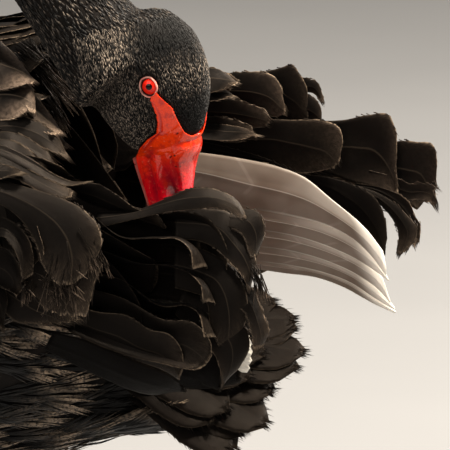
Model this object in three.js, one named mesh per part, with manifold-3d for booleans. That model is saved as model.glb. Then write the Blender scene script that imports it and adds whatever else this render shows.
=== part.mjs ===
// Black swan, life size, preening with its head turned back to the left wing.
// Millimetres, +Z up. The bird faces -X and its left side faces -Y; the floor is z = 0.

import * as THREE from 'three';
import { mergeVertices } from 'three/addons/utils/BufferGeometryUtils.js';
import Module from 'manifold-3d';

const wasm = await Module();
wasm.setup();

// Driving dimensions
const GAP = 0.3;
const TORSO_SIDES = 24;
const NECK_SIDES = 15;
const HEAD_SIDES = 20;
const WING_SIDES = 18;
const MANTLE_SIDES = 14;
const EYE_RADIUS = 6.2;
const VANE_THICKNESS = 1.6;
const VANE_EDGE = 0.55;
const VANE_LAYER = 2.2;
const COVERT_ROWS = [-436, -374, -312, -250];
const COVERT_SINK = 6;
const COVERT_LIFT = 9;
const COVERT_LENGTH = 94;
const COVERT_WIDTH = 42;
const TAIL_FEATHERS = 9;
const TAIL_COVERTS = 4;
const TAIL_LENGTH = 118;
const TAIL_SPREAD = 52;
const TAIL_DROOP = -11;
const TAIL_TWIST = 50;
const TAIL_SHINGLE = 0.22;
const LEG_X = -268;
const LEG_Y = 58;
const ANKLE_Z = 104;
const TOE_LENGTH = 104;

// Trunk stations: place along the body, half width, back height, belly height
const TORSO = [
  [-522, 38, 282, 212],
  [-500, 62, 312, 178],
  [-460, 84, 334, 146],
  [-400, 98, 344, 124],
  [-320, 105, 346, 114],
  [-240, 102, 340, 114],
  [-170, 88, 322, 124],
  [-115, 68, 296, 140],
  [-75, 48, 264, 153],
  [-50, 31, 240, 163],
];
const TORSO_FRONT = -532;
const TORSO_REAR = -36;

// Folded wing core: place along the body, distance out, height, half thickness, half depth
const WING = [
  [-455, 84, 276, 15, 42],
  [-400, 94, 274, 23, 66],
  [-320, 99, 272, 26, 76],
  [-240, 98, 275, 25, 70],
  [-180, 94, 282, 20, 54],
  [-140, 90, 288, 14, 36],
];
const WING_FRONT = -480;
const WING_REAR = -112;
const WING_SPLIT = -172;
const WING_INNER = 90;

// Saddle of the back between the wings: place, half width, height, half depth
const MANTLE = [
  [-430, 44, 322, 22],
  [-350, 66, 326, 30],
  [-260, 70, 322, 32],
  [-190, 58, 308, 30],
];
const BACK_RAISE = 26;
const MANTLE_FRONT = -462;
const MANTLE_REAR = -140;

// Neck centre line with its radius, from the chest over the back to the nape
const NECK = [
  [-432, 0, 288, 46],
  [-484, -3, 352, 34],
  [-486, -12, 432, 28],
  [-420, -24, 505, 25],
  [-322, -36, 533, 23.5],
  [-226, -46, 514, 23],
  [-155, -51, 466, 23],
  [-102, -53, 416, 24],
  [-78, -52, 384, 27],
  [-58, -53, 360, 30],
];
const NECK_CUTS = [0, 0.24, 0.46, 0.67, 1];

// Head: along the skull from nape to bill, with the crown, throat and half width
const EYE_CENTRE = new THREE.Vector3(-40, -52, 357.5);
const SKULL_AXIS = new THREE.Vector3(0.25, 0, -0.97).normalize();
const CROWN_AXIS = new THREE.Vector3(0.91, -0.33, 0.235).normalize();
const SKULL_SIDE = SKULL_AXIS.clone().cross(CROWN_AXIS).normalize();
const HEAD = [
  [-36, 17, 17, 17],
  [-27, 24, 24, 22],
  [-14, 28.5, 33, 23.5],
  [0, 30, 39, 24],
  [10, 28, 40, 23],
  [20, 23.5, 34.5, 20.5],
  [28, 18.5, 29, 17.8],
  [34, 13.5, 24, 15.3],
];
const EYE_UP = 6.5;
const EYE_OUT = 16.8;
const LID_RADIUS = 5.6;
const LID_WIRE = 1.15;
const LID_OUT = 4.4;

// Bill: along the culmen from the feathers to the tip, with its top, underside and half width
const BILL_LEAN = 10;
const BILL = [
  [-6, 17, 19.5, 14.2],
  [4, 17.5, 20.5, 15],
  [13, 12.5, 20, 15],
  [27, 9, 16.5, 13.6],
  [42, 8, 13, 12.6],
  [56, 7.5, 10, 12.6],
  [67, 5.5, 7.5, 10.5],
];
const BILL_LENGTH = 74;
const NAIL_START = 64;
const MOUTH_START = -17.5;
const MOUTH_SLOPE = 0.2;
const NOSTRIL_PLACE = [29, 4.2, 13.4];
const NOSTRIL_RADII = [6.2, 2.3, 4];
const SOLE_TOP = 14.5;
const WEB_THICKNESS = 2.6;
const CLAW_LENGTH = 9;
const CLAW_RADIUS = 3;

// Points, directions and solids
const P = (x, y, z) => new THREE.Vector3(x, y, z);
const mix = (a, b, t) => a + (b - a) * t;
const radians = (degrees) => THREE.MathUtils.degToRad(degrees);

function draws(seed) {
  let state = seed;
  return (low, high) => {
    state = (state * 1664525 + 1013904223) % 4294967296;
    return low + (high - low) * (state / 4294967296);
  };
}

function solid(geometry) {
  const bare = geometry.clone();
  bare.deleteAttribute('normal');
  bare.deleteAttribute('uv');
  const merged = mergeVertices(bare, 1e-4);
  const shape = new wasm.Mesh({
    numProp: 3,
    vertProperties: new Float32Array(merged.attributes.position.array),
    triVerts: new Uint32Array(merged.index.array),
  });
  return new wasm.Manifold(shape);
}

function solidFrom(points, triangles) {
  const geometry = new THREE.BufferGeometry();
  geometry.setAttribute('position', new THREE.Float32BufferAttribute(points.flatMap((p) => [p.x, p.y, p.z]), 3));
  geometry.setIndex(triangles);
  return solid(geometry);
}

function largest(body) {
  let best = body;
  let most = -Infinity;
  for (const piece of body.decompose()) {
    if (piece.volume() > most) {
      most = piece.volume();
      best = piece;
    }
  }
  return best;
}

const join = (pieces) => pieces.reduce((whole, piece) => whole.add(piece));

function block(low, high) {
  const size = high.clone().sub(low);
  const box = new THREE.BoxGeometry(size.x, size.y, size.z);
  box.translate((low.x + high.x) / 2, (low.y + high.y) / 2, (low.z + high.z) / 2);
  return solid(box);
}

// Closed body through rings of equal length, with a point or a flat centre at each end
function loft(rings, first, last) {
  const sides = rings[0].length;
  const points = [first, ...rings.flat(), last];
  const triangles = [];
  const at = (ring, side) => 1 + ring * sides + (side % sides);
  for (let side = 0; side < sides; side += 1) {
    triangles.push(0, at(0, side + 1), at(0, side));
    triangles.push(points.length - 1, at(rings.length - 1, side), at(rings.length - 1, side + 1));
  }
  for (let ring = 0; ring + 1 < rings.length; ring += 1) {
    for (let side = 0; side < sides; side += 1) {
      triangles.push(at(ring, side), at(ring, side + 1), at(ring + 1, side + 1));
      triangles.push(at(ring, side), at(ring + 1, side + 1), at(ring + 1, side));
    }
  }
  const body = solidFrom(points, triangles);
  if (body.volume() > 0) return body;
  const turned = triangles.map((_, i) => triangles[3 * Math.floor(i / 3) + 2 - (i % 3)]);
  return solidFrom(points, turned);
}

// Smooth values between the stations of a table
function station(table, key) {
  const columns = table[0].length - 1;
  let i = 0;
  while (i < table.length - 2 && key > table[i + 1][0]) i += 1;
  const before = table[Math.max(i - 1, 0)];
  const after = table[Math.min(i + 2, table.length - 1)];
  const [a, b] = [table[i], table[i + 1]];
  const t = THREE.MathUtils.clamp((key - a[0]) / (b[0] - a[0]), 0, 1);
  const values = [];
  for (let c = 1; c <= columns; c += 1) {
    const slopeA = (b[c] - before[c]) * (b[0] - a[0]) / (b[0] - before[0]);
    const slopeB = (after[c] - a[c]) * (b[0] - a[0]) / (after[0] - a[0]);
    const t2 = t * t;
    const t3 = t2 * t;
    values.push((2 * t3 - 3 * t2 + 1) * a[c] + (t3 - 2 * t2 + t) * slopeA
      + (3 * t2 - 2 * t3) * b[c] + (t3 - t2) * slopeB);
  }
  return values;
}

function spread(table, count) {
  const [from, to] = [table[0][0], table[table.length - 1][0]];
  return Array.from({ length: count }, (_, i) => mix(from, to, i / (count - 1)));
}

// Round limb along a centre line whose fourth number is the radius
function limb(line, sides, steps, from = 0, to = 1, grow = 0) {
  const curve = new THREE.CatmullRomCurve3(line.map(([x, y, z]) => P(x, y, z)), false, 'centripetal');
  const rings = [];
  const ends = [];
  for (let i = 0; i <= steps; i += 1) {
    const t = mix(from, to, i / steps);
    const centre = curve.getPoint(t);
    const along = curve.getTangent(t);
    const place = t * (line.length - 1);
    const k = Math.min(Math.floor(place), line.length - 2);
    const radius = mix(line[k][3], line[k + 1][3], place - k) + grow;
    const across = P(0, 1, 0).cross(along).normalize();
    const upright = along.clone().cross(across).normalize();
    const ring = [];
    for (let side = 0; side < sides; side += 1) {
      const angle = (2 * Math.PI * side) / sides;
      ring.push(centre.clone()
        .addScaledVector(across, radius * Math.cos(angle))
        .addScaledVector(upright, radius * Math.sin(angle)));
    }
    rings.push(ring);
    ends.push(centre);
  }
  return loft(rings, ends[0], ends[ends.length - 1]);
}

// One feather vane: a curved, cambered blade from root to tip, split alike on both faces
function vane(shape, grow = 0) {
  const { root, tip, leave, arrive, face, faceEnd, width, tipWidth = 0.45 } = shape;
  const { steps = 4, camber = 0.08, thickness = VANE_THICKNESS, reach = 0.36 } = shape;
  const length = root.distanceTo(tip);
  const curve = new THREE.CubicBezierCurve3(
    root,
    root.clone().addScaledVector(leave, length * reach),
    tip.clone().addScaledVector(arrive, -length * reach),
    tip,
  );
  const points = [[], []];
  for (let i = 0; i <= steps; i += 1) {
    const t = 1 - (1 - i / steps) ** 1.25;
    const along = curve.getTangent(t);
    const normal = face.clone().lerp(faceEnd, t);
    normal.addScaledVector(along, -normal.dot(along)).normalize();
    const side = along.clone().cross(normal);
    const body = 0.5 + 0.5 * Math.sin(Math.min(t / 0.62, 1) * Math.PI / 2);
    const end = t < 0.8 ? 1 : mix(1, tipWidth, ((t - 0.8) / 0.2) ** 1.6);
    const half = (width / 2) * body * end + grow;
    const thick = mix(thickness, VANE_EDGE, t) / 2 + grow;
    const centre = curve.getPoint(t);
    if (i === steps) centre.addScaledVector(along, grow);
    for (const across of [-1, 0, 1]) {
      const middle = centre.clone()
        .addScaledVector(side, across * half)
        .addScaledVector(normal, -camber * half * across * across);
      const depth = across === 0 ? thick : VANE_EDGE / 2 + grow;
      points[0].push(middle.clone().addScaledVector(normal, depth));
      points[1].push(middle.clone().addScaledVector(normal, -depth));
    }
  }
  const [over, under] = [(i, j) => i * 3 + j, (i, j) => (steps + 1) * 3 + i * 3 + j];
  const triangles = [];
  const quad = (a, b, c, d) => triangles.push(a, b, c, a, c, d);
  for (let i = 0; i < steps; i += 1) {
    for (let j = 0; j < 2; j += 1) {
      quad(over(i, j), over(i + 1, j), over(i + 1, j + 1), over(i, j + 1));
      triangles.push(under(i, j), under(i + 1, j + 1), under(i + 1, j));
      triangles.push(under(i, j), under(i, j + 1), under(i + 1, j + 1));
    }
    quad(over(i, 0), under(i, 0), under(i + 1, 0), over(i + 1, 0));
    quad(over(i + 1, 2), under(i + 1, 2), under(i, 2), over(i, 2));
  }
  for (let j = 0; j < 2; j += 1) {
    quad(over(0, j + 1), under(0, j + 1), under(0, j), over(0, j));
    quad(over(steps, j), under(steps, j), under(steps, j + 1), over(steps, j + 1));
  }
  const body = solidFrom([...points[0], ...points[1]], triangles);
  if (body.volume() > 0) return body;
  const turned = triangles.map((_, i) => triangles[3 * Math.floor(i / 3) + 2 - (i % 3)]);
  return solidFrom([...points[0], ...points[1]], turned);
}

// A tier of vanes whose roots lie on a line and whose tips lie on an arc
function tier(plan, random) {
  const shapes = [];
  const arc = new THREE.QuadraticBezierCurve3(...plan.tips);
  for (let i = 0; i < plan.count; i += 1) {
    const t = plan.count === 1 ? 0.5 : i / (plan.count - 1);
    const root = plan.roots[0].clone().lerp(plan.roots[1], t);
    const tip = arc.getPoint(t);
    tip.x += random(-plan.stray, plan.stray);
    tip.z += random(-plan.stray, plan.stray);
    const width = mix(plan.width[0], plan.width[1], t) * random(0.93, 1.07);
    const lift = (plan.layer ?? VANE_LAYER) * (plan.count - 1 - i);
    tip.addScaledVector(plan.faceEnd, lift);
    root.addScaledVector(plan.face, lift);
    shapes.push({ ...plan, root, tip, width });
  }
  return shapes;
}

const direction = (x, y, z) => P(x, y, z).normalize();

// Trunk
function trunk(grow = 0) {
  const rings = spread(TORSO, 12).map((x) => {
    const [half, back, belly] = station(TORSO, x);
    const middle = (back + belly) / 2;
    const depth = (back - belly) / 2 + grow;
    return Array.from({ length: TORSO_SIDES }, (_, side) => {
      const angle = (2 * Math.PI * side) / TORSO_SIDES;
      return P(x, (half + grow) * Math.cos(angle), middle + depth * Math.sin(angle));
    });
  });
  return loft(rings, P(TORSO_FRONT - grow, 0, 246), P(TORSO_REAR + grow, 0, 208));
}

function wingCore(hand, grow = 0) {
  const rings = spread(WING, 8).map((x) => {
    const [out, height, thick, deep] = station(WING, x);
    return Array.from({ length: WING_SIDES }, (_, side) => {
      const angle = (2 * Math.PI * side) / WING_SIDES;
      return P(x, hand * (out + (thick + grow) * Math.cos(angle)), height + (deep + grow) * Math.sin(angle));
    });
  });
  return loft(rings, P(WING_FRONT - grow, hand * 80, 276), P(WING_REAR + grow, hand * 88, 291));
}

function wingPoint(hand, x, degrees, sink) {
  const [out, height, thick, deep] = station(WING, x);
  const angle = radians(degrees);
  const normal = direction(0, hand * Math.cos(angle) / thick, Math.sin(angle) / deep);
  const place = P(x, hand * (out + thick * Math.cos(angle)), height + deep * Math.sin(angle));
  return { place: place.addScaledVector(normal, -sink), normal };
}

function mantleCore(grow = 0) {
  const rings = spread(MANTLE, 5).map((x) => {
    const [half, height, deep] = station(MANTLE, x);
    return Array.from({ length: MANTLE_SIDES }, (_, side) => {
      const angle = (2 * Math.PI * side) / MANTLE_SIDES;
      return P(x, (half + grow) * Math.cos(angle), height + (deep + grow) * Math.sin(angle));
    });
  });
  return loft(rings, P(MANTLE_FRONT - grow, 0, 318), P(MANTLE_REAR + grow, 0, 300));
}

// Head and bill, in the frame of the skull
function skullPoint(along, up, out) {
  return EYE_CENTRE.clone()
    .addScaledVector(SKULL_AXIS, along)
    .addScaledVector(CROWN_AXIS, up)
    .addScaledVector(SKULL_SIDE, out);
}

const BILL_AXIS = SKULL_AXIS.clone().multiplyScalar(Math.cos(radians(BILL_LEAN)))
  .addScaledVector(CROWN_AXIS, -Math.sin(radians(BILL_LEAN))).normalize();
const BILL_TOP = CROWN_AXIS.clone().addScaledVector(BILL_AXIS, -CROWN_AXIS.dot(BILL_AXIS)).normalize();
const BILL_ROOT = skullPoint(30, -2, 0);

function billPoint(along, up, out) {
  return BILL_ROOT.clone()
    .addScaledVector(BILL_AXIS, along)
    .addScaledVector(BILL_TOP, up)
    .addScaledVector(SKULL_SIDE, out);
}

function sections(table, count, place, grow) {
  return spread(table, count).map((along) => {
    const [top, under, half] = station(table, along);
    const [middle, deep] = [(top - under) / 2, (top + under) / 2 + grow];
    return Array.from({ length: HEAD_SIDES }, (_, side) => {
      const angle = (2 * Math.PI * side) / HEAD_SIDES;
      return place(along, middle + deep * Math.sin(angle), (half + grow) * Math.cos(angle));
    });
  });
}

function skull(grow = 0) {
  const rings = sections(HEAD, 10, skullPoint, grow);
  return loft(rings, skullPoint(-40 - grow, 2, 0), skullPoint(37 + grow, -3, 0));
}

function wholeBill() {
  const rings = sections(BILL, 10, billPoint, 0);
  return loft(rings, billPoint(-9, 0, 0), billPoint(BILL_LENGTH, -2, 0));
}

// Half space above a sloping plane of the bill
function billSide(above, offset) {
  const reach = 90;
  const points = [];
  for (const up of [0, above ? reach : -reach]) {
    for (const [along, out] of [[-60, -60], [140, -60], [140, 60], [-60, 60]]) {
      points.push(billPoint(along, MOUTH_START + MOUTH_SLOPE * along + offset + up, out));
    }
  }
  const faces = [
    0, 1, 2, 0, 2, 3, 4, 6, 5, 4, 7, 6, 0, 4, 5, 0, 5, 1,
    1, 5, 6, 1, 6, 2, 2, 6, 7, 2, 7, 3, 3, 7, 4, 3, 4, 0,
  ];
  const body = solidFrom(points, faces);
  if (body.volume() > 0) return body;
  return solidFrom(points, faces.map((_, i) => faces[3 * Math.floor(i / 3) + 2 - (i % 3)]));
}

function billBox(from, to) {
  const box = new THREE.BoxGeometry(to - from, 90, 90);
  box.applyMatrix4(new THREE.Matrix4().makeBasis(BILL_AXIS, BILL_TOP, SKULL_SIDE));
  const centre = billPoint((from + to) / 2, 0, 0);
  box.translate(centre.x, centre.y, centre.z);
  return solid(box);
}

function ball(centre, radius, rings = 7) {
  const sphere = new THREE.SphereGeometry(radius, 2 * rings, rings);
  sphere.translate(centre.x, centre.y, centre.z);
  return solid(sphere);
}

function eyeCentre(hand) {
  return skullPoint(0, EYE_UP, hand * EYE_OUT);
}

function lid(hand) {
  const ring = new THREE.TorusGeometry(LID_RADIUS, LID_WIRE, 6, 14);
  ring.applyQuaternion(new THREE.Quaternion().setFromUnitVectors(P(0, 0, 1), SKULL_SIDE));
  const centre = skullPoint(0, EYE_UP, hand * (EYE_OUT + LID_OUT));
  ring.translate(centre.x, centre.y, centre.z);
  return solid(ring);
}

function nostril(hand) {
  const slot = new THREE.SphereGeometry(1, 10, 6);
  slot.scale(...NOSTRIL_RADII);
  const frame = new THREE.Matrix4().makeBasis(BILL_AXIS, BILL_TOP, SKULL_SIDE);
  slot.applyMatrix4(frame);
  const [along, up, out] = NOSTRIL_PLACE;
  const centre = billPoint(along, up, hand * out);
  slot.translate(centre.x, centre.y, centre.z);
  return solid(slot);
}

function mouthLine(hand) {
  const cut = new THREE.BoxGeometry(18, 0.9, 6);
  cut.applyMatrix4(new THREE.Matrix4().makeBasis(BILL_AXIS, BILL_TOP, SKULL_SIDE));
  const centre = billPoint(-10, MOUTH_START - 1.4, hand * 16);
  cut.translate(centre.x, centre.y, centre.z);
  return solid(cut);
}

// Wing feathers
function coverts(hand, random) {
  const shapes = [];
  COVERT_ROWS.forEach((x, row) => {
    const count = row === 0 ? 3 : 4;
    for (let i = 0; i < count; i += 1) {
      const layer = VANE_LAYER * (i % 2);
      const turn = mix(-56, 54, i / (count - 1)) + random(-3, 3);
      const start = wingPoint(hand, x + random(-5, 5), turn, COVERT_SINK - layer);
      const end = wingPoint(hand, Math.min(x + COVERT_LENGTH, -146), turn * 0.96, 0);
      const tip = end.place.addScaledVector(end.normal, COVERT_LIFT + layer + random(-0.4, 0.4));
      shapes.push({
        root: start.place,
        tip,
        leave: P(1, 0, 0).addScaledVector(start.normal, 0.34).normalize(),
        arrive: P(1, 0, 0).addScaledVector(end.normal, -0.06).normalize(),
        face: start.normal,
        faceEnd: end.normal,
        width: COVERT_WIDTH,
        tipWidth: 0.5,
        steps: 3,
      });
    }
  });
  return shapes;
}

function nearTiers() {
  const out = direction(0, -1, 0.12);
  return [
    {
      count: 3,
      layer: 3,
      roots: [P(-200, -92, 326), P(-196, -104, 312)],
      tips: [P(-108, -96, 336), P(-84, -100, 324), P(-44, -102, 300)],
      leave: direction(1, -0.05, 0.3),
      arrive: direction(1, 0, -0.5),
      face: direction(0, -0.75, 0.66),
      faceEnd: direction(0.1, -0.75, 0.66),
      width: [30, 36],
      stray: 1,
    },
    {
      count: 3,
      layer: 3.5,
      roots: [P(-176, -103, 302), P(-178, -105, 284)],
      tips: [P(30, -92, 286), P(30, -98, 268), P(12, -102, 254)],
      leave: direction(1, -0.12, 0.16),
      arrive: direction(0.55, -0.05, -1),
      face: out,
      faceEnd: direction(0.7, -1, 0.2),
      width: [44, 46],
      stray: 1.5,
    },
    {
      count: 4,
      layer: 2.6,
      roots: [P(-160, -95, 284), P(-164, -97, 262)],
      tips: [P(30, -84, 228), P(16, -86, 200), P(-10, -90, 208)],
      leave: direction(1, -0.05, 0),
      arrive: direction(0.3, 0, -1),
      face: out,
      faceEnd: direction(0.35, -1, 0.1),
      width: [38, 42],
      stray: 1.5,
    },
    {
      count: 2,
      layer: 4,
      roots: [P(-200, -106, 258), P(-206, -106, 244)],
      tips: [P(-30, -110, 214), P(-48, -114, 216), P(-66, -116, 228)],
      leave: direction(1, -0.1, -0.1),
      arrive: direction(0.4, 0.1, -1),
      face: out,
      faceEnd: direction(0.1, -1, 0),
      width: [38, 42],
      stray: 1,
    },
    {
      count: 2,
      layer: 4,
      roots: [P(-210, -114, 296), P(-214, -113, 272)],
      tips: [P(-82, -126, 254), P(-94, -128, 244), P(-110, -128, 240)],
      leave: direction(1, -0.22, 0.1),
      arrive: direction(0.35, 0, -1),
      face: out,
      faceEnd: direction(0.2, -1, 0.1),
      width: [50, 46],
      stray: 1,
    },
  ];
}

function farTiers() {
  const out = direction(0, 1, 0.12);
  return [
    {
      count: 3,
      layer: -3,
      roots: [P(-186, 100, 316), P(-184, 104, 304)],
      tips: [P(-34, 98, 334), P(-4, 98, 342), P(12, 98, 326)],
      leave: direction(1, 0, 0.2),
      arrive: direction(1, 0.05, -0.3),
      face: direction(0, 0.7, 0.7),
      faceEnd: direction(0.15, 0.8, 0.6),
      width: [36, 40],
      stray: 1.5,
    },
    {
      count: 4,
      layer: -4,
      roots: [P(-168, 104, 298), P(-170, 104, 282)],
      tips: [P(-40, 96, 308), P(20, 96, 318), P(70, 98, 296)],
      leave: direction(1, 0, 0.15),
      arrive: direction(1, 0.05, -0.35),
      face: out,
      faceEnd: direction(0.15, 1, 0.3),
      width: [36, 46],
      stray: 1.5,
    },
    {
      count: 3,
      layer: 3,
      roots: [P(-176, 108, 276), P(-180, 107, 260)],
      tips: [P(64, 104, 266), P(54, 104, 246), P(26, 104, 256)],
      leave: direction(1, 0, 0.1),
      arrive: direction(0.4, 0, -1),
      face: out,
      faceEnd: direction(0.3, 1, 0.1),
      width: [36, 36],
      stray: 1.5,
    },
    {
      count: 2,
      layer: 4,
      roots: [P(-200, 108, 256), P(-206, 107, 242)],
      tips: [P(-24, 112, 244), P(-44, 114, 234), P(-70, 114, 226)],
      leave: direction(1, 0.1, 0),
      arrive: direction(0.7, 0, -0.7),
      face: out,
      faceEnd: direction(0.1, 1, 0.1),
      width: [38, 40],
      stray: 1,
    },
    {
      count: 2,
      layer: 4,
      roots: [P(-210, 114, 296), P(-214, 113, 268)],
      tips: [P(-80, 126, 266), P(-94, 128, 250), P(-108, 128, 238)],
      leave: direction(1, 0.22, 0.1),
      arrive: direction(0.8, 0, -0.6),
      face: out,
      faceEnd: direction(0.1, 1, 0.1),
      width: [48, 46],
      stray: 1,
    },
  ];
}

function flightPlan(hand) {
  const near = hand < 0;
  return {
    count: 7,
    roots: [P(-150, hand * 86, 306), P(-146, hand * 86, 272)],
    tips: near
      ? [P(4, -76, 236), P(34, -74, 224), P(16, -76, 204)]
      : [P(30, 54, 262), P(66, 50, 244), P(58, 48, 218)],
    leave: direction(1, near ? 0.1 : -0.2, -0.02),
    arrive: direction(1, near ? 0.05 : -0.05, -0.62),
    face: direction(0, hand, 0.25),
    faceEnd: direction(0, hand, 0.3),
    width: [24, 26],
    tipWidth: 0.25,
    stray: 0.5,
    steps: 4,
    camber: 0.03,
    layer: -1.3,
  };
}

// Inner rear part of the wing core, which carries the flight feathers
function flightRoom(hand, grow) {
  const inner = WING_INNER + grow;
  return block(
    P(WING_SPLIT + GAP - grow, hand > 0 ? 0 : -inner, 0),
    P(200, hand > 0 ? inner : 0, 600),
  ).intersect(wingCore(hand, grow));
}

function wingNodes(hand, tiers, seed) {
  const random = draws(seed);
  const tertials = tiers.flatMap((plan) => tier(plan, random));
  const shapes = [...coverts(hand, random), ...tertials];
  const flightShapes = tier(flightPlan(hand), random);
  const flightCore = flightRoom(hand, 0).subtract(trunk(GAP));
  const flight = largest(join([flightCore, ...flightShapes.map((shape) => vane(shape))]));
  const keepOut = join([
    trunk(GAP),
    flightRoom(hand, GAP),
    ...flightShapes.map((shape) => vane(shape, GAP)),
  ]);
  const cover = join([wingCore(hand), ...shapes.map((shape) => vane(shape))]);
  return { cover: largest(cover.subtract(keepOut)), flight };
}

// Back feathers in rows over the saddle
function mantleShapes(random) {
  const shapes = [];
  const rows = [-414, -348, -282, -216];
  for (const x of rows) {
    const count = 3;
    for (let i = 0; i < count; i += 1) {
      const layer = VANE_LAYER * (i % 2);
      const y = mix(-40, 40, i / (count - 1)) + random(-3, 3);
      const [half, height, deep] = station(MANTLE, x);
      const [, heightEnd, deepEnd] = station(MANTLE, Math.min(x + 80, -190));
      const top = (h, d) => h + d * Math.sqrt(1 - (y / half) ** 2 * 0.8);
      const raised = BACK_RAISE * Math.max(0, (x - rows[1]) / (rows[3] - rows[1])) ** 2;
      shapes.push({
        root: P(x, y, top(height, deep) - 6 + layer),
        tip: P(x + 92, y * 0.95, top(heightEnd, deepEnd) + 8 + layer + raised + random(-0.5, 0.5)),
        leave: direction(1, 0, 0.34),
        arrive: direction(1, 0, -0.12),
        face: direction(0, y / 110, 1),
        faceEnd: direction(0, y / 110, 1),
        width: 42,
        tipWidth: 0.45,
        steps: 3,
      });
    }
  }
  return shapes;
}

// Tail fan, turned so that its upper side looks to the left
function tailNode() {
  const random = draws(41);
  const twist = radians(TAIL_TWIST);
  const up = P(0, -Math.sin(twist), Math.cos(twist));
  const across = P(0, Math.cos(twist), Math.sin(twist));
  const root = P(-92, 0, 212);
  const core = limb([[-110, 0, 214, 30], [-78, 0, 212, 28], [-44, 0, 208, 20], [-20, 0, 205, 9]], 14, 5);
  const pieces = [core];
  const fan = (count, length, lift, width, spreadOut) => {
    for (let i = 0; i < count; i += 1) {
      const turn = radians(TAIL_DROOP + spreadOut * (i / (count - 1) - 0.5));
      const ray = P(Math.cos(turn), 0, 0).addScaledVector(across, Math.sin(turn));
      const reach = length * (1 - 0.1 * Math.abs(i / (count - 1) - 0.5)) * random(0.97, 1.03);
      pieces.push(vane({
        root: root.clone().addScaledVector(ray, 34).addScaledVector(up, lift * 0.35),
        tip: root.clone().addScaledVector(ray, reach).addScaledVector(up, lift - 4),
        leave: ray.clone().addScaledVector(up, 0.06).normalize(),
        arrive: ray.clone().addScaledVector(up, -0.16).normalize(),
        face: up.clone().addScaledVector(across, TAIL_SHINGLE).normalize(),
        faceEnd: up.clone().addScaledVector(across, TAIL_SHINGLE).normalize(),
        width,
        tipWidth: 0.6,
        steps: 3,
        camber: 0.02,
      }));
    }
  };
  fan(TAIL_FEATHERS, TAIL_LENGTH, 0, 22, TAIL_SPREAD);
  fan(TAIL_COVERTS, TAIL_LENGTH * 0.76, 11, 26, TAIL_SPREAD * 0.8);
  return largest(join(pieces).subtract(trunk(GAP)));
}

// Legs: feathered thigh, scaled shank, webbed foot with flat sole, and claws
const TOES = [
  { turn: -27, length: 0.86 },
  { turn: 0, length: 1 },
  { turn: 27, length: 0.88 },
];

function thighLimb(hand, grow = 0) {
  const y = hand * LEG_Y;
  const line = [[LEG_X - 12, y, 150, 34], [LEG_X + 4, y, 124, 24], [LEG_X + 16, y, ANKLE_Z, 11.5]];
  return limb(line, 14, 4, 0, 1, grow);
}

function thigh(hand) {
  return thighLimb(hand).subtract(trunk(GAP));
}

function shank(hand) {
  const y = hand * LEG_Y;
  const from = P(LEG_X + 16, y, ANKLE_Z - GAP);
  const line = [
    [from.x, y, from.z - 1, 9.5],
    [from.x + 1, y, from.z - 12, 9.5],
    [from.x - 6, y, 60, 7],
    [from.x - 15, y, 26, 7.4],
    [from.x - 18, y, SOLE_TOP, 8.6],
  ];
  return limb(line, 10, 6)
    .subtract(thighLimb(hand, GAP))
    .subtract(block(P(-600, -200, -20), P(200, 200, SOLE_TOP)));
}

function toeTip(hand, toe) {
  const start = P(LEG_X - 2, hand * LEG_Y, 0);
  const turn = radians(toe.turn * hand);
  return start.add(P(-Math.cos(turn), Math.sin(turn), 0).multiplyScalar(TOE_LENGTH * toe.length));
}

function foot(hand) {
  const y = hand * LEG_Y;
  const start = P(LEG_X - 2, y, 0);
  const web = new THREE.Shape();
  web.moveTo(start.x + 4, start.y);
  TOES.forEach((toe, i) => {
    const tip = toeTip(hand, toe);
    if (i > 0) {
      const last = toeTip(hand, TOES[i - 1]);
      const middle = last.clone().lerp(tip, 0.5).lerp(start, 0.16);
      web.quadraticCurveTo(middle.x, middle.y, tip.x + 5, tip.y);
    } else {
      web.lineTo(tip.x + 5, tip.y);
    }
  });
  web.closePath();
  const plate = new THREE.ExtrudeGeometry(web, { depth: WEB_THICKNESS, bevelEnabled: false, curveSegments: 4 });
  const pieces = [solid(plate)];
  pieces.push(limb([[start.x + 16, y, 6, 5], [start.x, y, 8, 9.5], [start.x - 14, y, 6.4, 7.5]], 10, 4));
  for (const toe of TOES) {
    const tip = toeTip(hand, toe);
    const knuckle = start.clone().lerp(tip, 0.55);
    pieces.push(limb([
      [start.x, start.y, 6.2, 6.8],
      [mix(start.x, tip.x, 0.3), mix(start.y, tip.y, 0.3), 4.2, 5.2],
      [knuckle.x, knuckle.y, 4.2, 5],
      [tip.x, tip.y, 3.4, 4.2],
    ], 7, 3));
  }
  pieces.push(limb([
    [start.x + 6, y - hand * 4, 12, 4.5],
    [start.x + 20, y - hand * 9, 8, 3.6],
    [start.x + 27, y - hand * 11, 5, 3],
  ], 6, 3));
  return largest(join(pieces)
    .subtract(block(P(-600, -200, -40), P(200, 200, 0)))
    .subtract(block(P(-600, -200, SOLE_TOP - GAP), P(200, 200, 60))));
}

function claw(root, heading, length, radius) {
  const line = [];
  for (const t of [0, 0.5, 1]) {
    line.push([
      root.x + heading.x * length * t,
      root.y + heading.y * length * t,
      root.z - (root.z - 1.2) * t * t,
      radius * (1 - 0.8 * t),
    ]);
  }
  return limb(line, 6, 2);
}

// Colours of the bird
const paint = (color, roughness, metalness = 0) => new THREE.MeshStandardMaterial({ color, roughness, metalness });
const PAINTS = {
  plumage: paint(0x15120f, 0.7),
  tertial: paint(0x1d1915, 0.6),
  flight: paint(0xe6e0d4, 0.55),
  bill: paint(0xc9201c, 0.3),
  nail: paint(0xe9b9b0, 0.35),
  eye: paint(0xd4281c, 0.12),
  leg: paint(0x1b1a1a, 0.55),
  claw: paint(0x0c0b0b, 0.4),
};

const group = new THREE.Group();

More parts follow.
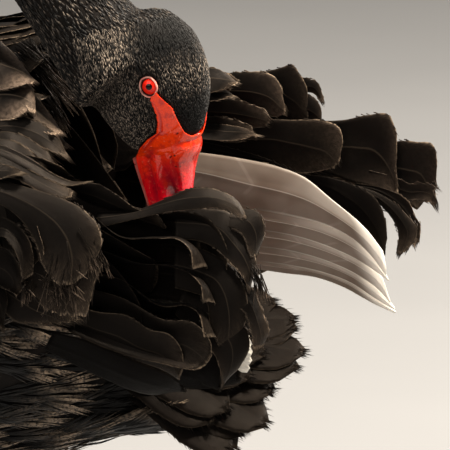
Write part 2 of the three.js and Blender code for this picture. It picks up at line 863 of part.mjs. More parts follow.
function place(name, body, material) {
  const shape = body.getMesh();
  const geometry = new THREE.BufferGeometry();
  geometry.setAttribute('position', new THREE.Float32BufferAttribute(shape.vertProperties, 3));
  geometry.setIndex(Array.from(shape.triVerts));
  geometry.computeVertexNormals();
  const mesh = new THREE.Mesh(geometry, PAINTS[material]);
  mesh.name = name;
  group.add(mesh);
}

// Trunk, neck and head
const skullGrown = skull(GAP);
place('torso', trunk(), 'plumage');
const neckNames = ['neck_base', 'neck_lower', 'neck_upper', 'neck_top'];
const neckCurve = new THREE.CatmullRomCurve3(NECK.map(([x, y, z]) => P(x, y, z)), false, 'centripetal');
const neckLength = neckCurve.getLength();
neckNames.forEach((name, i) => {
  const half = (GAP / 2 / neckLength) * 1.4;
  const from = NECK_CUTS[i] + (i > 0 ? half : 0);
  const to = NECK_CUTS[i + 1] - (i < 3 ? half : 0);
  let body = limb(NECK, NECK_SIDES, 6, from, to);
  if (i === 0) body = body.subtract(trunk(GAP));
  if (i === 3) body = body.subtract(skullGrown);
  place(name, largest(body), 'plumage');
});

let headBody = skull();
for (const hand of [-1, 1]) headBody = headBody.add(lid(hand));
for (const hand of [-1, 1]) headBody = headBody.subtract(ball(eyeCentre(hand), EYE_RADIUS + GAP));
for (const hand of [-1, 1]) headBody = headBody.subtract(mouthLine(hand));
place('head', largest(headBody), 'plumage');

const bill = wholeBill().subtract(skullGrown);
const upper = bill.intersect(billSide(true, GAP / 2));
const nailBox = billBox(NAIL_START, 120);
let upperBody = upper.subtract(billBox(NAIL_START - GAP, 120));
for (const hand of [-1, 1]) upperBody = upperBody.subtract(nostril(hand));
place('bill_upper', largest(upperBody), 'bill');
place('bill_nail', largest(upper.intersect(nailBox)), 'nail');
place('bill_lower', largest(bill.intersect(billSide(false, -GAP / 2))), 'bill');
place('eye_right', ball(eyeCentre(1), EYE_RADIUS), 'eye');
place('eye_left', ball(eyeCentre(-1), EYE_RADIUS), 'eye');


// Wings, back and tail
const left = wingNodes(-1, nearTiers(), 7);
const right = wingNodes(1, farTiers(), 19);
const backShapes = mantleShapes(draws(23));
const neckRoom = limb(NECK, NECK_SIDES, 6, NECK_CUTS[0], NECK_CUTS[1], GAP);
const backRoom = join([trunk(GAP), wingCore(-1, GAP), wingCore(1, GAP), neckRoom]);
const back = largest(join([mantleCore(), ...backShapes.map((shape) => vane(shape))]).subtract(backRoom));
const backGrown = join([mantleCore(GAP), ...backShapes.map((shape) => vane(shape, GAP))]);
place('mantle', back, 'plumage');
place('wing_left', largest(left.cover.subtract(backGrown)), 'tertial');
place('wing_right', largest(right.cover.subtract(backGrown)), 'tertial');
place('flight_left', left.flight, 'flight');
place('flight_right', right.flight, 'flight');
place('tail', tailNode(), 'tertial');

// Legs
for (const [side, hand] of [['left', -1], ['right', 1]]) {
  place(`thigh_${side}`, thigh(hand), 'plumage');
  place(`shank_${side}`, largest(shank(hand)), 'leg');
  place(`foot_${side}`, foot(hand), 'leg');
  TOES.forEach((toe, i) => {
    const tip = toeTip(hand, toe);
    const turn = radians(toe.turn * hand);
    const heading = P(-Math.cos(turn), Math.sin(turn), 0);
    const root = tip.clone().addScaledVector(heading, GAP * 1.2);
    root.z = 3.4;
    place(`claw_${side}_${i + 1}`, claw(root, heading, CLAW_LENGTH, CLAW_RADIUS), 'claw');
  });
}

// Stand the bird with the middle of its box at the origin
group.updateMatrixWorld(true);
const box = new THREE.Box3().setFromObject(group);
const middle = box.getCenter(P(0, 0, 0));
for (const mesh of group.children) mesh.position.set(-middle.x, -middle.y, -box.min.z);

export default group;
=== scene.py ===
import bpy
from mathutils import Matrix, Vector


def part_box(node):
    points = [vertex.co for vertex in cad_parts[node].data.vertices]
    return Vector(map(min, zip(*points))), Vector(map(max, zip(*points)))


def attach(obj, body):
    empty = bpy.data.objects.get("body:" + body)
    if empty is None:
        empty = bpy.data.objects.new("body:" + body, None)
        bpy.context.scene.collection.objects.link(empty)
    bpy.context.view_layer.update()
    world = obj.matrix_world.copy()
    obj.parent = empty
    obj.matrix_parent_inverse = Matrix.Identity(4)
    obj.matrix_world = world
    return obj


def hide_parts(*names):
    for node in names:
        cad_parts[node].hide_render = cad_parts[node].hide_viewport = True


bl_info = {
    "name": "Preening Swan",
    "version": (1, 0, 0),
    "blender": (4, 5, 0),
    "location": "View3D > Sidebar > Swan",
    "description": "A life-size black swan that preens, dressed over its packed solids",
    "category": "Add Mesh",
}

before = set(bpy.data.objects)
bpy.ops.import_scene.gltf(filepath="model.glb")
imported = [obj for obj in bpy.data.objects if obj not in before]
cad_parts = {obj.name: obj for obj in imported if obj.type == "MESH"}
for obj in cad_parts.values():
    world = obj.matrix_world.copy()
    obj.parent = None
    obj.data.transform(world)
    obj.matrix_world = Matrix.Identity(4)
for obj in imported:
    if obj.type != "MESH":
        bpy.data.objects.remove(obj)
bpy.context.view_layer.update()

import math

import bmesh
import bpy
import numpy as np
from mathutils import Vector

# Sizes are millimetres in the bird's own frame: chest to -X, left side to -Y, floor at zero.
MM = 0.001
# Corners nearer than this, in metres, are one
MERGE = 2e-6
# Width of one tuft's patch on the bake map, round the body and along it
PATCH_WIDE, PATCH_LONG = 0.0013, 0.0026
BARB_PATCH = 0.0028
RING = 2 * math.pi
TRUNK_MIDDLE = -284.0


def bird_shift():
    """Where the bird's own frame lies in the packed frame, read from the trunk's box."""
    low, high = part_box("torso")
    return np.array([(low[0] + high[0]) / 2 - TRUNK_MIDDLE * MM, (low[1] + high[1]) / 2, 0.0])


SHIFT = bird_shift()

# Trunk: place along the body, half width, back height, belly height
TRUNK = (
    (-522, 38, 282, 212), (-500, 62, 312, 178), (-460, 84, 334, 146), (-400, 98, 344, 124),
    (-320, 105, 346, 114), (-240, 102, 340, 114), (-170, 88, 322, 124), (-115, 68, 296, 140),
    (-75, 48, 264, 153), (-50, 31, 240, 163),
)
# Folded wing: place, distance out, height, half thickness, half depth
WING = (
    (-455, 84, 276, 15, 42), (-400, 94, 274, 23, 66), (-320, 99, 272, 26, 76),
    (-240, 98, 275, 25, 70), (-180, 94, 282, 20, 54), (-140, 90, 288, 14, 36),
)
# Saddle of the back: place, half width, height, half depth
SADDLE = ((-430, 44, 322, 22), (-350, 66, 326, 30), (-260, 70, 322, 32), (-190, 58, 308, 30))
# Neck centre line with its radius
NECK = (
    (-432, 0, 288, 46), (-484, -3, 352, 34), (-486, -12, 432, 28), (-420, -24, 505, 25),
    (-322, -36, 533, 23.5), (-226, -46, 514, 23), (-155, -51, 466, 23), (-102, -53, 416, 24),
    (-78, -52, 384, 27), (-58, -53, 360, 30),
)
# Head: along the skull from nape to bill, with crown, throat and half width
HEAD = (
    (-36, 17, 17, 17), (-27, 24, 24, 22), (-14, 28.5, 33, 23.5), (0, 30, 39, 24),
    (10, 28, 40, 23), (20, 23.5, 34.5, 20.5), (28, 18.5, 29, 17.8), (34, 13.5, 24, 15.3),
)
# Bill: along the culmen, with top, underside and half width
BILL = (
    (-6, 17, 19.5, 14.2), (4, 17.5, 20.5, 15), (13, 12.5, 20, 15), (27, 9, 16.5, 13.6),
    (42, 8, 13, 12.6), (56, 7.5, 10, 12.6), (67, 5.5, 7.5, 10.5), (73.5, 1.5, 3.5, 4.5),
)
BILL_LEAN = math.radians(10)
MOUTH_START = -17.5
MOUTH_SLOPE = 0.2
EYE_UP = 6.5
EYE_OUT = 16.8
EYE_RADIUS = 6.2

# Red skin before the eye, in the side view of the skull: along, lower edge, upper edge
LORE_LOW = ((2.5, 9), (6.9, 6.9), (15.3, 6.9), (20, 5.6), (25, 2.7), (27.6, -4.3), (31, -11), (34, -16),
            (37, -22))
LORE_HIGH = ((2.5, 10.5), (6.3, 12.1), (13.6, 15.7), (23.5, 15.0), (28, 14.6), (31.5, 15.2), (33, 40))


def unit(v):
    v = np.asarray(v, float)
    return v / np.maximum(np.linalg.norm(v, axis=-1, keepdims=True), 1e-9)


EYE_CENTRE = np.array([-40.0, -52.0, 357.5])
SKULL = unit([0.25, 0, -0.97])
CROWN = unit([0.91, -0.33, 0.235])
SIDE = unit(np.cross(SKULL, CROWN))
BILL_AXIS = unit(SKULL * math.cos(BILL_LEAN) - CROWN * math.sin(BILL_LEAN))
BILL_TOP = unit(CROWN - BILL_AXIS * CROWN.dot(BILL_AXIS))
BILL_ROOT = EYE_CENTRE + 30 * SKULL - 2 * CROWN

# Where the photo was taken from
VIEW_TARGET = np.array([0.0, -70.0, 285.0])
VIEW_AZIMUTH = math.radians(14)
VIEW_HEIGHT = math.radians(9)
VIEW_DISTANCE = 4500.0
VIEW_LENS = 684.0
SENSOR = 36.0
PICTURE = 450.0


def to_scene(points):
    return np.asarray(points, float) * MM + SHIFT


def table_at(table, keys):
    """Smooth values between the rows of a table, as cubic pieces with matched slopes."""
    rows = np.array(table, float)
    x, y = rows[:, 0], rows[:, 1:]
    slopes = np.gradient(y, x, axis=0)
    keys = np.clip(np.asarray(keys, float), x[0], x[-1])
    i = np.clip(np.searchsorted(x, keys, side="right") - 1, 0, len(x) - 2)
    span = (x[i + 1] - x[i])[..., None]
    t = (keys - x[i])[..., None] / span
    t2, t3 = t * t, t * t * t
    return ((2 * t3 - 3 * t2 + 1) * y[i] + (t3 - 2 * t2 + t) * span * slopes[i]
            + (3 * t2 - 2 * t3) * y[i + 1] + (t3 - t2) * span * slopes[i + 1])


def rounded_end(keys, table, first, last):
    """Shrinks a body to a point beyond the first and last rows of its table."""
    lead = np.clip((table[0][0] - keys) / (table[0][0] - first), 0, 1)
    trail = np.clip((keys - table[-1][0]) / (last - table[-1][0]), 0, 1)
    return np.sqrt(np.maximum(1 - np.maximum(lead, trail) ** 2, 0))


def oval(x, table, first, last, turn):
    """The table's values at x, the share left near an end, and the turn's two parts."""
    values = table_at(table, x)
    end = rounded_end(x, table, first, last)
    return values, end, np.cos(turn), np.sin(turn)


def wing_point(hand, s, turn, grow=0.0):
    x = -479 + s * 366
    v, end, c, w = oval(x, WING, -480, -112, turn)
    y = hand * (v[..., 0] + (v[..., 2] * end + grow) * c)
    return np.stack([x, y, v[..., 1] + (v[..., 3] * end + grow) * w], -1)


def saddle_point(s, turn, grow=0.0):
    x = -461 + s * 320
    v, end, c, w = oval(x, SADDLE, -462, -140, turn)
    return np.stack([x, (v[..., 0] * end + grow) * c, v[..., 1] + (v[..., 2] * end + grow) * w], -1)


def neck_line():
    points = np.array(NECK, float)
    steps = np.concatenate([[0], np.cumsum(np.linalg.norm(np.diff(points[:, :3], axis=0), axis=1))])
    return np.column_stack([steps, points])


NECK_LINE = neck_line()
NECK_LENGTH = NECK_LINE[-1, 0]


def head_frame(along, up, out):
    return (EYE_CENTRE + along[..., None] * SKULL + up[..., None] * CROWN + out[..., None] * SIDE)


def head_point(s, turn, grow=0.0):
    along = -37 + s * 77
    v = table_at(HEAD, along)
    end = rounded_end(along, HEAD, -40, 44)
    middle = (v[..., 0] - v[..., 1]) / 2
    deep = (v[..., 0] + v[..., 1]) / 2 * end + grow
    return head_frame(along, middle + deep * np.sin(turn), (v[..., 2] * end + grow) * np.cos(turn))


def bill_frame(along, up, out):
    return (BILL_ROOT + along[..., None] * BILL_AXIS + up[..., None] * BILL_TOP + out[..., None] * SIDE)


# Meshes from arrays, for feathers and tufts
def mesh_piece(name, verts, faces, material, feather, patch=None):
    """One object from arrays in the bird's frame, with its feather attribute and OFBake map."""
    mesh = bpy.data.meshes.new(name)
    faces = np.asarray(faces, np.int32)
    corners = faces.shape[1]
    mesh.vertices.add(len(verts))
    mesh.vertices.foreach_set("co", to_scene(verts).astype(np.float32).ravel())
    mesh.loops.add(faces.size)
    mesh.loops.foreach_set("vertex_index", faces.ravel())
    mesh.polygons.add(len(faces))
    mesh.polygons.foreach_set("loop_start", np.arange(0, faces.size, corners, dtype=np.int32))
    mesh.polygons.foreach_set("use_smooth", np.full(len(faces), True))
    mesh.update(calc_edges=True)
    layer = mesh.attributes.new("feather", "FLOAT_VECTOR", "POINT")
    layer.data.foreach_set("vector", np.asarray(feather, np.float32).ravel())
    if patch is not None:
        layer = mesh.uv_layers.new(name="OFBake")
        layer.data.foreach_set("uv", np.asarray(patch, np.float32)[faces.ravel()].ravel())
    mesh.validate()
    piece = bpy.data.objects.new(name, mesh)
    bpy.context.scene.collection.objects.link(piece)
    mesh.materials.append(material)
    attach(piece, "root")
    return piece


def close_seams(form):
    """Merges the seam of a swept form, fills its ends and turns its faces outwards."""
    bmesh.ops.remove_doubles(form, verts=form.verts[:], dist=MERGE)
    rims = [edge for edge in form.edges if edge.is_boundary]
    if rims:
        bmesh.ops.holes_fill(form, edges=rims, sides=0)
    bmesh.ops.recalc_face_normals(form, faces=form.faces[:])


def form_piece(form, name, material, link=True):
    """A smooth-shaded object from a bmesh, which rides on the root if it is linked."""
    for face in form.faces:
        face.smooth = True
    mesh = bpy.data.meshes.new(name)
    form.to_mesh(mesh)
    form.free()
    piece = bpy.data.objects.new(name, mesh)
    if link:
        bpy.context.scene.collection.objects.link(piece)
        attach(piece, "root")
    if material is not None:
        mesh.materials.append(material)
    return piece


def grid_piece(name, rows, columns, point, material, closed=True, link=True):
    """A swept surface from a grid, whose seam is merged and whose ends are closed."""
    form = bmesh.new()
    bmesh.ops.create_grid(form, x_segments=rows, y_segments=columns, size=0.5)
    form.verts.ensure_lookup_table()
    s = np.array([v.co.x + 0.5 for v in form.verts])
    t = np.array([v.co.y + 0.5 for v in form.verts])
    placed = to_scene(point(s, t))
    for vert, co in zip(form.verts, placed):
        vert.co = co
    if closed:
        close_seams(form)
    return form_piece(form, name, material, link)


# Materials
class Finish:
    """One material under construction: its shader and short ways to add nodes."""

    def __init__(self, name, **shader):
        self.material = bpy.data.materials.new(name)
        self.material.use_nodes = True
        self.tree = self.material.node_tree
        self.tree.nodes.clear()
        self.shader = self.tree.nodes.new("ShaderNodeBsdfPrincipled")
        out = self.tree.nodes.new("ShaderNodeOutputMaterial")
        self.tree.links.new(self.shader.outputs[0], out.inputs["Surface"])
        for key, value in shader.items():
            self.shader.inputs[key.replace("_", " ")].default_value = value

    def node(self, kind, *inputs, **settings):
        node = self.tree.nodes.new("ShaderNode" + kind)
        for key, value in settings.items():
            setattr(node, key, value)
        for i, value in enumerate(inputs):
            if value is None:
                continue
            if isinstance(value, bpy.types.NodeSocket):
                self.tree.links.new(value, node.inputs[i])
            else:
                node.inputs[i].default_value = value
        return node

    def math(self, operation, *inputs, clamp=False):
        return self.node("Math", *inputs, operation=operation, use_clamp=clamp).outputs[0]

    def ramp(self, value, low, high):
        """A smooth step of value from low to high."""
        node = self.node("MapRange", value, low, high, 0.0, 1.0)
        node.interpolation_type = "SMOOTHSTEP"
        return node.outputs[0]

    def times(self, first, second, clamp=False):
        return self.math("MULTIPLY", first, second, clamp=clamp)

    def plus(self, first, second, clamp=False):
        return self.math("ADD", first, second, clamp=clamp)

    def mix(self, share, first, second):
        node = self.tree.nodes.new("ShaderNodeMix")
        node.data_type = "RGBA"
        for socket, value in zip((node.inputs[0], node.inputs[6], node.inputs[7]), (share, first, second)):
            if isinstance(value, bpy.types.NodeSocket):
                self.tree.links.new(value, socket)
            else:
                socket.default_value = value
        return node.outputs[2]

    def place(self):
        return self.node("TexCoord").outputs["Object"]

    def noise(self, scale, detail=3.0, where=None):
        node = self.node("TexNoise", where or self.place())
        node.inputs["Scale"].default_value = scale
        node.inputs["Detail"].default_value = detail
        return node.outputs["Fac"]

    def feather(self):
        """Along, across and chance from the mesh."""
        split = self.node("SeparateXYZ", self.node("Attribute", attribute_name="feather").outputs["Vector"])
        return split.outputs[0], split.outputs[1], split.outputs[2]

    def done(self, colour, roughness, height, strength, distance):
        self.tree.links.new(colour, self.shader.inputs["Base Color"])
        self.tree.links.new(roughness, self.shader.inputs["Roughness"])
        bump = self.node("Bump")
        bump.inputs["Strength"].default_value = strength
        bump.inputs["Distance"].default_value = distance
        self.tree.links.new(height, bump.inputs["Height"])
        self.tree.links.new(bump.outputs[0], self.shader.inputs["Normal"])
        return self.material


def rgba(colour):
    return (colour[0], colour[1], colour[2], 1.0)


# One turn of the fine waves that stand for barbs
WAVE = 6.283


def feather_finish(name, dark, warm, rim, rim_share, barbs=170.0):
    """Dark vane, browner and worn towards the tip, with fine slanting barbs and a thin pale rim."""
    f = Finish(name, Sheen_Weight=0.008, Sheen_Roughness=0.4, Specular_Tint=(1.0, 0.84, 0.72, 1.0))
    along, across, chance = f.feather()
    out = f.math("ABSOLUTE", across)
    slant = f.math("SUBTRACT", f.times(along, barbs), f.times(out, barbs * 0.3))
    wave = f.math("SINE", f.times(slant, WAVE))
    grid = f.node("CombineXYZ", f.times(slant, 0.35), f.times(out, 0.5), f.times(chance, 9.0))
    streak = f.noise(10.0, 3.0, grid.outputs[0])
    cloud = f.noise(60.0, 4.0)
    grain = f.noise(520.0, 3.0)
    split = f.noise(700.0, 1.0)
    tipward = f.ramp(f.plus(along, f.times(f.math("SUBTRACT", out, 0.5), 0.3)), 0.58, 1.12)
    # Brown towards the tip, scaled by the chance value: partly the feather's own brown, partly painted light
    # on the lit feathers.
    bloom_and_painted_light = f.times(f.plus(tipward, f.times(f.ramp(cloud, 0.4, 0.75), 0.14)),
                   f.plus(f.times(chance, 1.0), 0.04), clamp=True)
    bloom_and_painted_light = f.times(bloom_and_painted_light, f.plus(f.times(f.ramp(grain, 0.3, 0.7), 0.6), 0.4))
    base = f.mix(bloom_and_painted_light, rgba(dark), rgba(warm))
    edge = f.math("MAXIMUM", f.ramp(out, 0.94, 1.0), f.ramp(along, 0.97, 1.0))
    near = f.times(f.ramp(f.math("MAXIMUM", out, along), 0.72, 1.0), f.ramp(streak, 0.5, 0.72))
    pale = f.math("MAXIMUM", f.times(edge, f.ramp(split, 0.25, 0.6)), f.times(near, 0.45))
    # The pale rim, scaled the same way: partly worn fringe, partly painted light.
    pale = f.times(pale, f.times(f.plus(f.times(tipward, 0.85), 0.15), rim_share))
    pale = f.times(pale, f.plus(f.times(chance, 0.95), 0.05), clamp=True)
    shaft = f.times(f.times(f.ramp(out, 0.04, 0.012), chance), 0.07)
    colour = f.mix(shaft, f.mix(pale, base, rgba(rim)), rgba(rim))
    height = f.plus(f.times(wave, 0.3), f.times(streak, 1.4))
    rough = f.plus(f.times(cloud, 0.25), 0.34)
    gloss = f.plus(f.times(chance, 0.12), 0.015)
    f.tree.links.new(gloss, f.shader.inputs["Specular IOR Level"])
    return f.done(colour, rough, height, 0.24, 0.0004)


def tuft_finish(name, dark, warm, tip, tip_share, sheen=0.02):
    """Small coat feathers: black at the root, with worn tan tips that come and go."""
    f = Finish(name, Sheen_Weight=sheen, Sheen_Roughness=0.5, Specular_IOR_Level=0.28)
    along, across, chance = f.feather()
    cloud = f.noise(60.0)
    fine = f.noise(650.0, 2.0)
    base = f.mix(f.times(f.ramp(cloud, 0.35, 0.7), 0.14), rgba(dark), rgba(warm))
    # Tan tips where the chance and a fine noise are high: partly worn tips, partly painted highlights.
    lit = f.times(f.ramp(along, 0.35, 0.9), f.ramp(chance, 0.25, 0.75))
    lit = f.times(lit, f.times(f.ramp(fine, 0.3, 0.6), tip_share), clamp=True)
    colour = f.mix(lit, base, rgba(tip))
    rough = f.plus(f.times(cloud, 0.2), 0.5)
    return f.done(colour, rough, fine, 0.3, 0.0003)


def white_finish(name, white, shade):
    """Pale flight vane: mauve inner web with faint bars, outer web and tip cream white."""
    f = Finish(name, Sheen_Weight=0.04, Specular_IOR_Level=0.25)
    along, across, chance = f.feather()
    out = f.math("ABSOLUTE", across)
    slant = f.math("SUBTRACT", f.times(along, 260.0), f.times(out, 40.0))
    wave = f.math("SINE", f.times(slant, WAVE))
    cloud = f.noise(42.0, 2.0)
    bars = f.math("SINE", f.plus(f.times(along, 34.0), f.times(out, 2.4)))
    # Painted light: the outer web turns cream white from a start that each feather's chance value shifts, and
    # so do the rims and the tip.
    begin = f.math("SUBTRACT", along, f.times(chance, 0.3))
    painted_light_strip = f.times(f.ramp(across, -0.1, 0.35), f.ramp(begin, 0.28, 0.62))
    painted_light_strip = f.times(painted_light_strip, 0.3)
    lit = f.math("MAXIMUM", painted_light_strip, f.ramp(f.plus(along, f.times(across, 0.06)), 0.80, 0.95))
    lit = f.math("MAXIMUM", lit, f.times(f.ramp(out, 0.88, 0.97), f.times(f.ramp(along, 0.4, 0.8), 0.7)))
    tone = f.math("SUBTRACT", 1.0, lit)
    barred = f.times(f.times(f.ramp(bars, 0.93, 1.0), f.ramp(cloud, 0.5, 0.6)), 0.06)
    tone = f.math("SUBTRACT", tone, barred, clamp=True)
    tone = f.math("SUBTRACT", tone, f.times(f.ramp(cloud, 0.3, 0.7), 0.1), clamp=True)
    # Painted shade: away from the painted light the white gives way to the mauve-grey shade colour.
    base = f.mix(tone, rgba(white), rgba(shade))
    line = f.times(f.ramp(out, 0.035, 0.01), 0.35)
    colour = f.mix(line, base, rgba(white))
    height = f.plus(f.times(wave, 0.12), f.ramp(out, 0.08, 0.0))
    rough = f.plus(f.times(cloud, 0.2), 0.5)
    return f.done(colour, rough, height, 0.15, 0.0003)


def horn_finish(name, colours, roughness, coat, grain):
    """Bill, nail or face skin: orange at the face, crimson in the folds, with pale worn spots."""
    f = Finish(name, Coat_Weight=coat, Coat_Roughness=0.07, Specular_IOR_Level=0.15,
               Specular_Tint=(1.0, 0.6, 0.5, 1.0))
    along, height, fold = f.feather()
    cloud = f.noise(85.0, 4.0)
    lump = f.noise(210.0, 3.0)
    fine = f.noise(620.0, 3.0)
    base = f.mix(f.ramp(f.plus(along, f.times(cloud, 0.3)), 0.40, 0.72), rgba(colours[0]), rgba(colours[1]))
    # Painted shade: the folds and troughs turn deep crimson.
    deep = f.mix(f.times(fold, 0.85, clamp=True), base, rgba(colours[2]))
    mottle = f.mix(f.times(f.ramp(lump, 0.5, 0.66), 0.5), deep, rgba(colours[2]))
    glow = f.mix(f.times(f.ramp(cloud, 0.56, 0.7), 0.4), mottle, rgba(colours[0]))
    # Pale spots where a fine noise is high: partly wear, partly painted highlights.
    worn = f.mix(f.times(f.ramp(fine, 0.6, 0.74), 0.3), glow, rgba(colours[3]))
    speck = f.noise(330.0, 0.0)
    colour = f.mix(f.times(f.ramp(speck, 0.80, 0.83), 0.85), worn, (0.03, 0.002, 0.002, 1.0))
    pores = f.node("TexVoronoi", f.place())
    pores.inputs["Scale"].default_value = grain
    bumps = f.plus(f.times(pores.outputs["Distance"], 0.4),
                   f.plus(fine, f.plus(f.times(cloud, 4.0), f.times(lump, 2.4))))
    rough = f.plus(f.times(fine, 0.25), roughness)
    return f.done(colour, rough, bumps, 0.6, 0.0006)


def skin_finish(name, dark, warm):
    """Down under the feathers, black with brown streaks."""
    f = Finish(name, Sheen_Weight=0.02, Specular_IOR_Level=0.1)
    cloud = f.noise(60.0)
    fine = f.noise(700.0, 4.0)
    base = f.mix(f.times(f.ramp(cloud, 0.35, 0.7), 0.2), rgba(dark), rgba(warm))
    colour = f.mix(f.times(f.ramp(fine, 0.5, 0.75), 0.2), base, rgba(warm))
    return f.done(colour, f.plus(f.times(fine, 0.2), 0.65), fine, 0.5, 0.0006)


def scale_finish(name, dark, pale, scale):
    """Leg skin in small scales, or web skin in fine creases."""
    f = Finish(name, Coat_Weight=0.15, Coat_Roughness=0.3)
    cells = f.node("TexVoronoi", f.place(), feature="DISTANCE_TO_EDGE")
    cells.inputs["Scale"].default_value = scale
    plate = f.ramp(cells.outputs["Distance"], 0.0, 0.16)
    cloud = f.noise(120.0, 4.0)
    colour = f.mix(f.times(plate, f.ramp(cloud, 0.3, 0.75)), rgba(dark), rgba(pale))
    rough = f.plus(f.times(cloud, 0.3), 0.35)
    return f.done(colour, rough, plate, 0.5, 0.0006)


def eye_finish(name, iris, rim):
    """Red iris with fine rays round a small black pupil, under a wet cornea."""
    f = Finish(name, Coat_Weight=0.25, Coat_Roughness=0.03, Specular_IOR_Level=0.15)
    radius, turn, chance = f.feather()
    rays = f.node("TexNoise", f.node("CombineXYZ", f.times(turn, 9.0),
                                     f.times(radius, 1.2), 0.0).outputs[0])
    rays.inputs["Scale"].default_value = 6.0
    ray = rays.outputs["Fac"]
    glow = f.mix(f.ramp(ray, 0.3, 0.75), rgba(iris), rgba(rim))
    shade = f.mix(f.ramp(radius, 0.6, 0.72), glow, (0.02, 0.002, 0.002, 1.0))
    colour = f.mix(f.ramp(radius, 0.31, 0.26), shade, (0.002, 0.002, 0.002, 1.0))
    return f.done(colour, f.plus(f.times(ray, 0.1), 0.08), ray, 0.06, 0.0002)


# Skin under the coat
def flesh_form(names, grown):
    """The bodies of flesh as one bmesh, with extra closed forms."""
    form = bmesh.new()
    for name in names:
        part = bmesh.new()
        part.from_mesh(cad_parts[name].data)
        bmesh.ops.remove_doubles(part, verts=part.verts[:], dist=1e-6)
        whole = bpy.data.meshes.new(name + "_copy")
        part.to_mesh(whole)
        part.free()
        form.from_mesh(whole)
        bpy.data.meshes.remove(whole)
    for piece in grown:
        form.from_mesh(piece.data)
        bpy.data.objects.remove(piece)
    return form


def settle(piece, voxel, rounds):
    """Joins the forms of a piece into one smooth skin."""
    remesh = piece.modifiers.new("Join", "REMESH")
    remesh.mode = "VOXEL"
    remesh.voxel_size = voxel
    smooth = piece.modifiers.new("Soften", "SMOOTH")
    smooth.iterations = rounds
    depsgraph = bpy.context.evaluated_depsgraph_get()
    mesh = bpy.data.meshes.new_from_object(piece.evaluated_get(depsgraph))
    piece.modifiers.clear()
    piece.data = mesh
    for polygon in mesh.polygons:
        polygon.use_smooth = True
    return mesh


def vert_arrays(mesh):
    count = len(mesh.vertices)
    co = np.empty(count * 3)
    mesh.vertices.foreach_get("co", co)
    normal = np.empty(count * 3)
    mesh.vertices.foreach_get("normal", normal)
    return (co.reshape(-1, 3) - SHIFT) / MM, normal.reshape(-1, 3)


NECK_STEPS = np.linspace(0, NECK_LENGTH, 160)
NECK_PLACES = table_at(NECK_LINE, NECK_STEPS)
NECK_RUN = unit(np.gradient(NECK_PLACES[:, :3], axis=0))


def neck_share(points):
    """Nearest step of the neck's centre line, with the distance over its radius."""
    best = np.full(len(points), 1e9)
    step = np.zeros(len(points), int)
    for i, place in enumerate(NECK_PLACES):
        away = np.linalg.norm(points - place[:3], axis=1) / place[3]
        near = away < best
        best[near] = away[near]
        step[near] = i
    return step, best


HEAD_PART, NECK_PART, BODY_PART, WING_PART, THIGH_PART = range(5)


def body_part(points):
    """Which part of the coat a point of the skin belongs to."""
    part = np.full(len(points), BODY_PART)
    x, y, z = points.T
    step, away = neck_share(points)
    part[(away < 1.35) & (step > 34) & ((z > 344) | (x < -505) | (step > 100))] = NECK_PART
    rel = points - EYE_CENTRE
    along = rel @ SKULL
    radial = np.linalg.norm(rel - along[:, None] * SKULL, axis=1)
    part[(along > -30) & (along < 60) & (radial < 42) & (z > 280)] = HEAD_PART
    wing = table_at(WING, x)
    inside = np.abs(z - wing[:, 1]) < wing[:, 3] * 0.9
    part[(np.abs(y) > 80) & (x > -462) & (x < -118) & inside & (part == BODY_PART)] = WING_PART
    part[(z > 352) & (part == BODY_PART)] = NECK_PART
    part[(z < 122) & (np.abs(y) > 24) & (np.abs(x + 268) < 50)] = THIGH_PART
    return part


def lie_of(points, normals, part):
    """The way the feathers lie, along the body and away from the bill."""
    step, away = neck_share(points)
    lie = np.tile([1.0, 0.0, -0.12], (len(points), 1))
    front = np.clip((-430 - points[:, 0]) / 70, 0, 1)
    lie += front[:, None] * np.array([-0.3, 0, -1.1])
    neck = part == NECK_PART
    lie[neck] = -NECK_RUN[step[neck]]
    head = part == HEAD_PART
    lie[head] = -SKULL
    lie[part == THIGH_PART] = [0.25, 0, -1]
    lie -= normals * (lie * normals).sum(1, keepdims=True)
    return unit(lie)


def unwrap(points, part):
    """Where a root lies on a flat layout of the skin: round the body by along it."""
    step, away = neck_share(points)
    turn = np.arctan2(points[:, 2] - 235, points[:, 1])
    along = (points[:, 0] + 540) / 620
    neck = (part == NECK_PART) | (part == HEAD_PART)
    centre = NECK_PLACES[step, :3]
    rel = points - centre
    across = unit(np.cross([0.0, 1.0, 0.0], NECK_RUN[step]))
    upright = np.cross(NECK_RUN[step], across)
    turn = np.where(neck, np.arctan2((rel * upright).sum(1), (rel * across).sum(1)), turn)
    along = np.where(neck, step / 170, along)
    head = part == HEAD_PART
    rel = points - EYE_CENTRE
    turn = np.where(head, np.arctan2(rel @ CROWN, rel @ SIDE), turn)
    along = np.where(head, 0.3 + (rel @ SKULL + 45) / 200, along)
    return np.stack([0.03 + 0.94 * (turn / (2 * np.pi) + 0.5), 0.03 + 0.94 * np.clip(along, 0, 1)], -1)


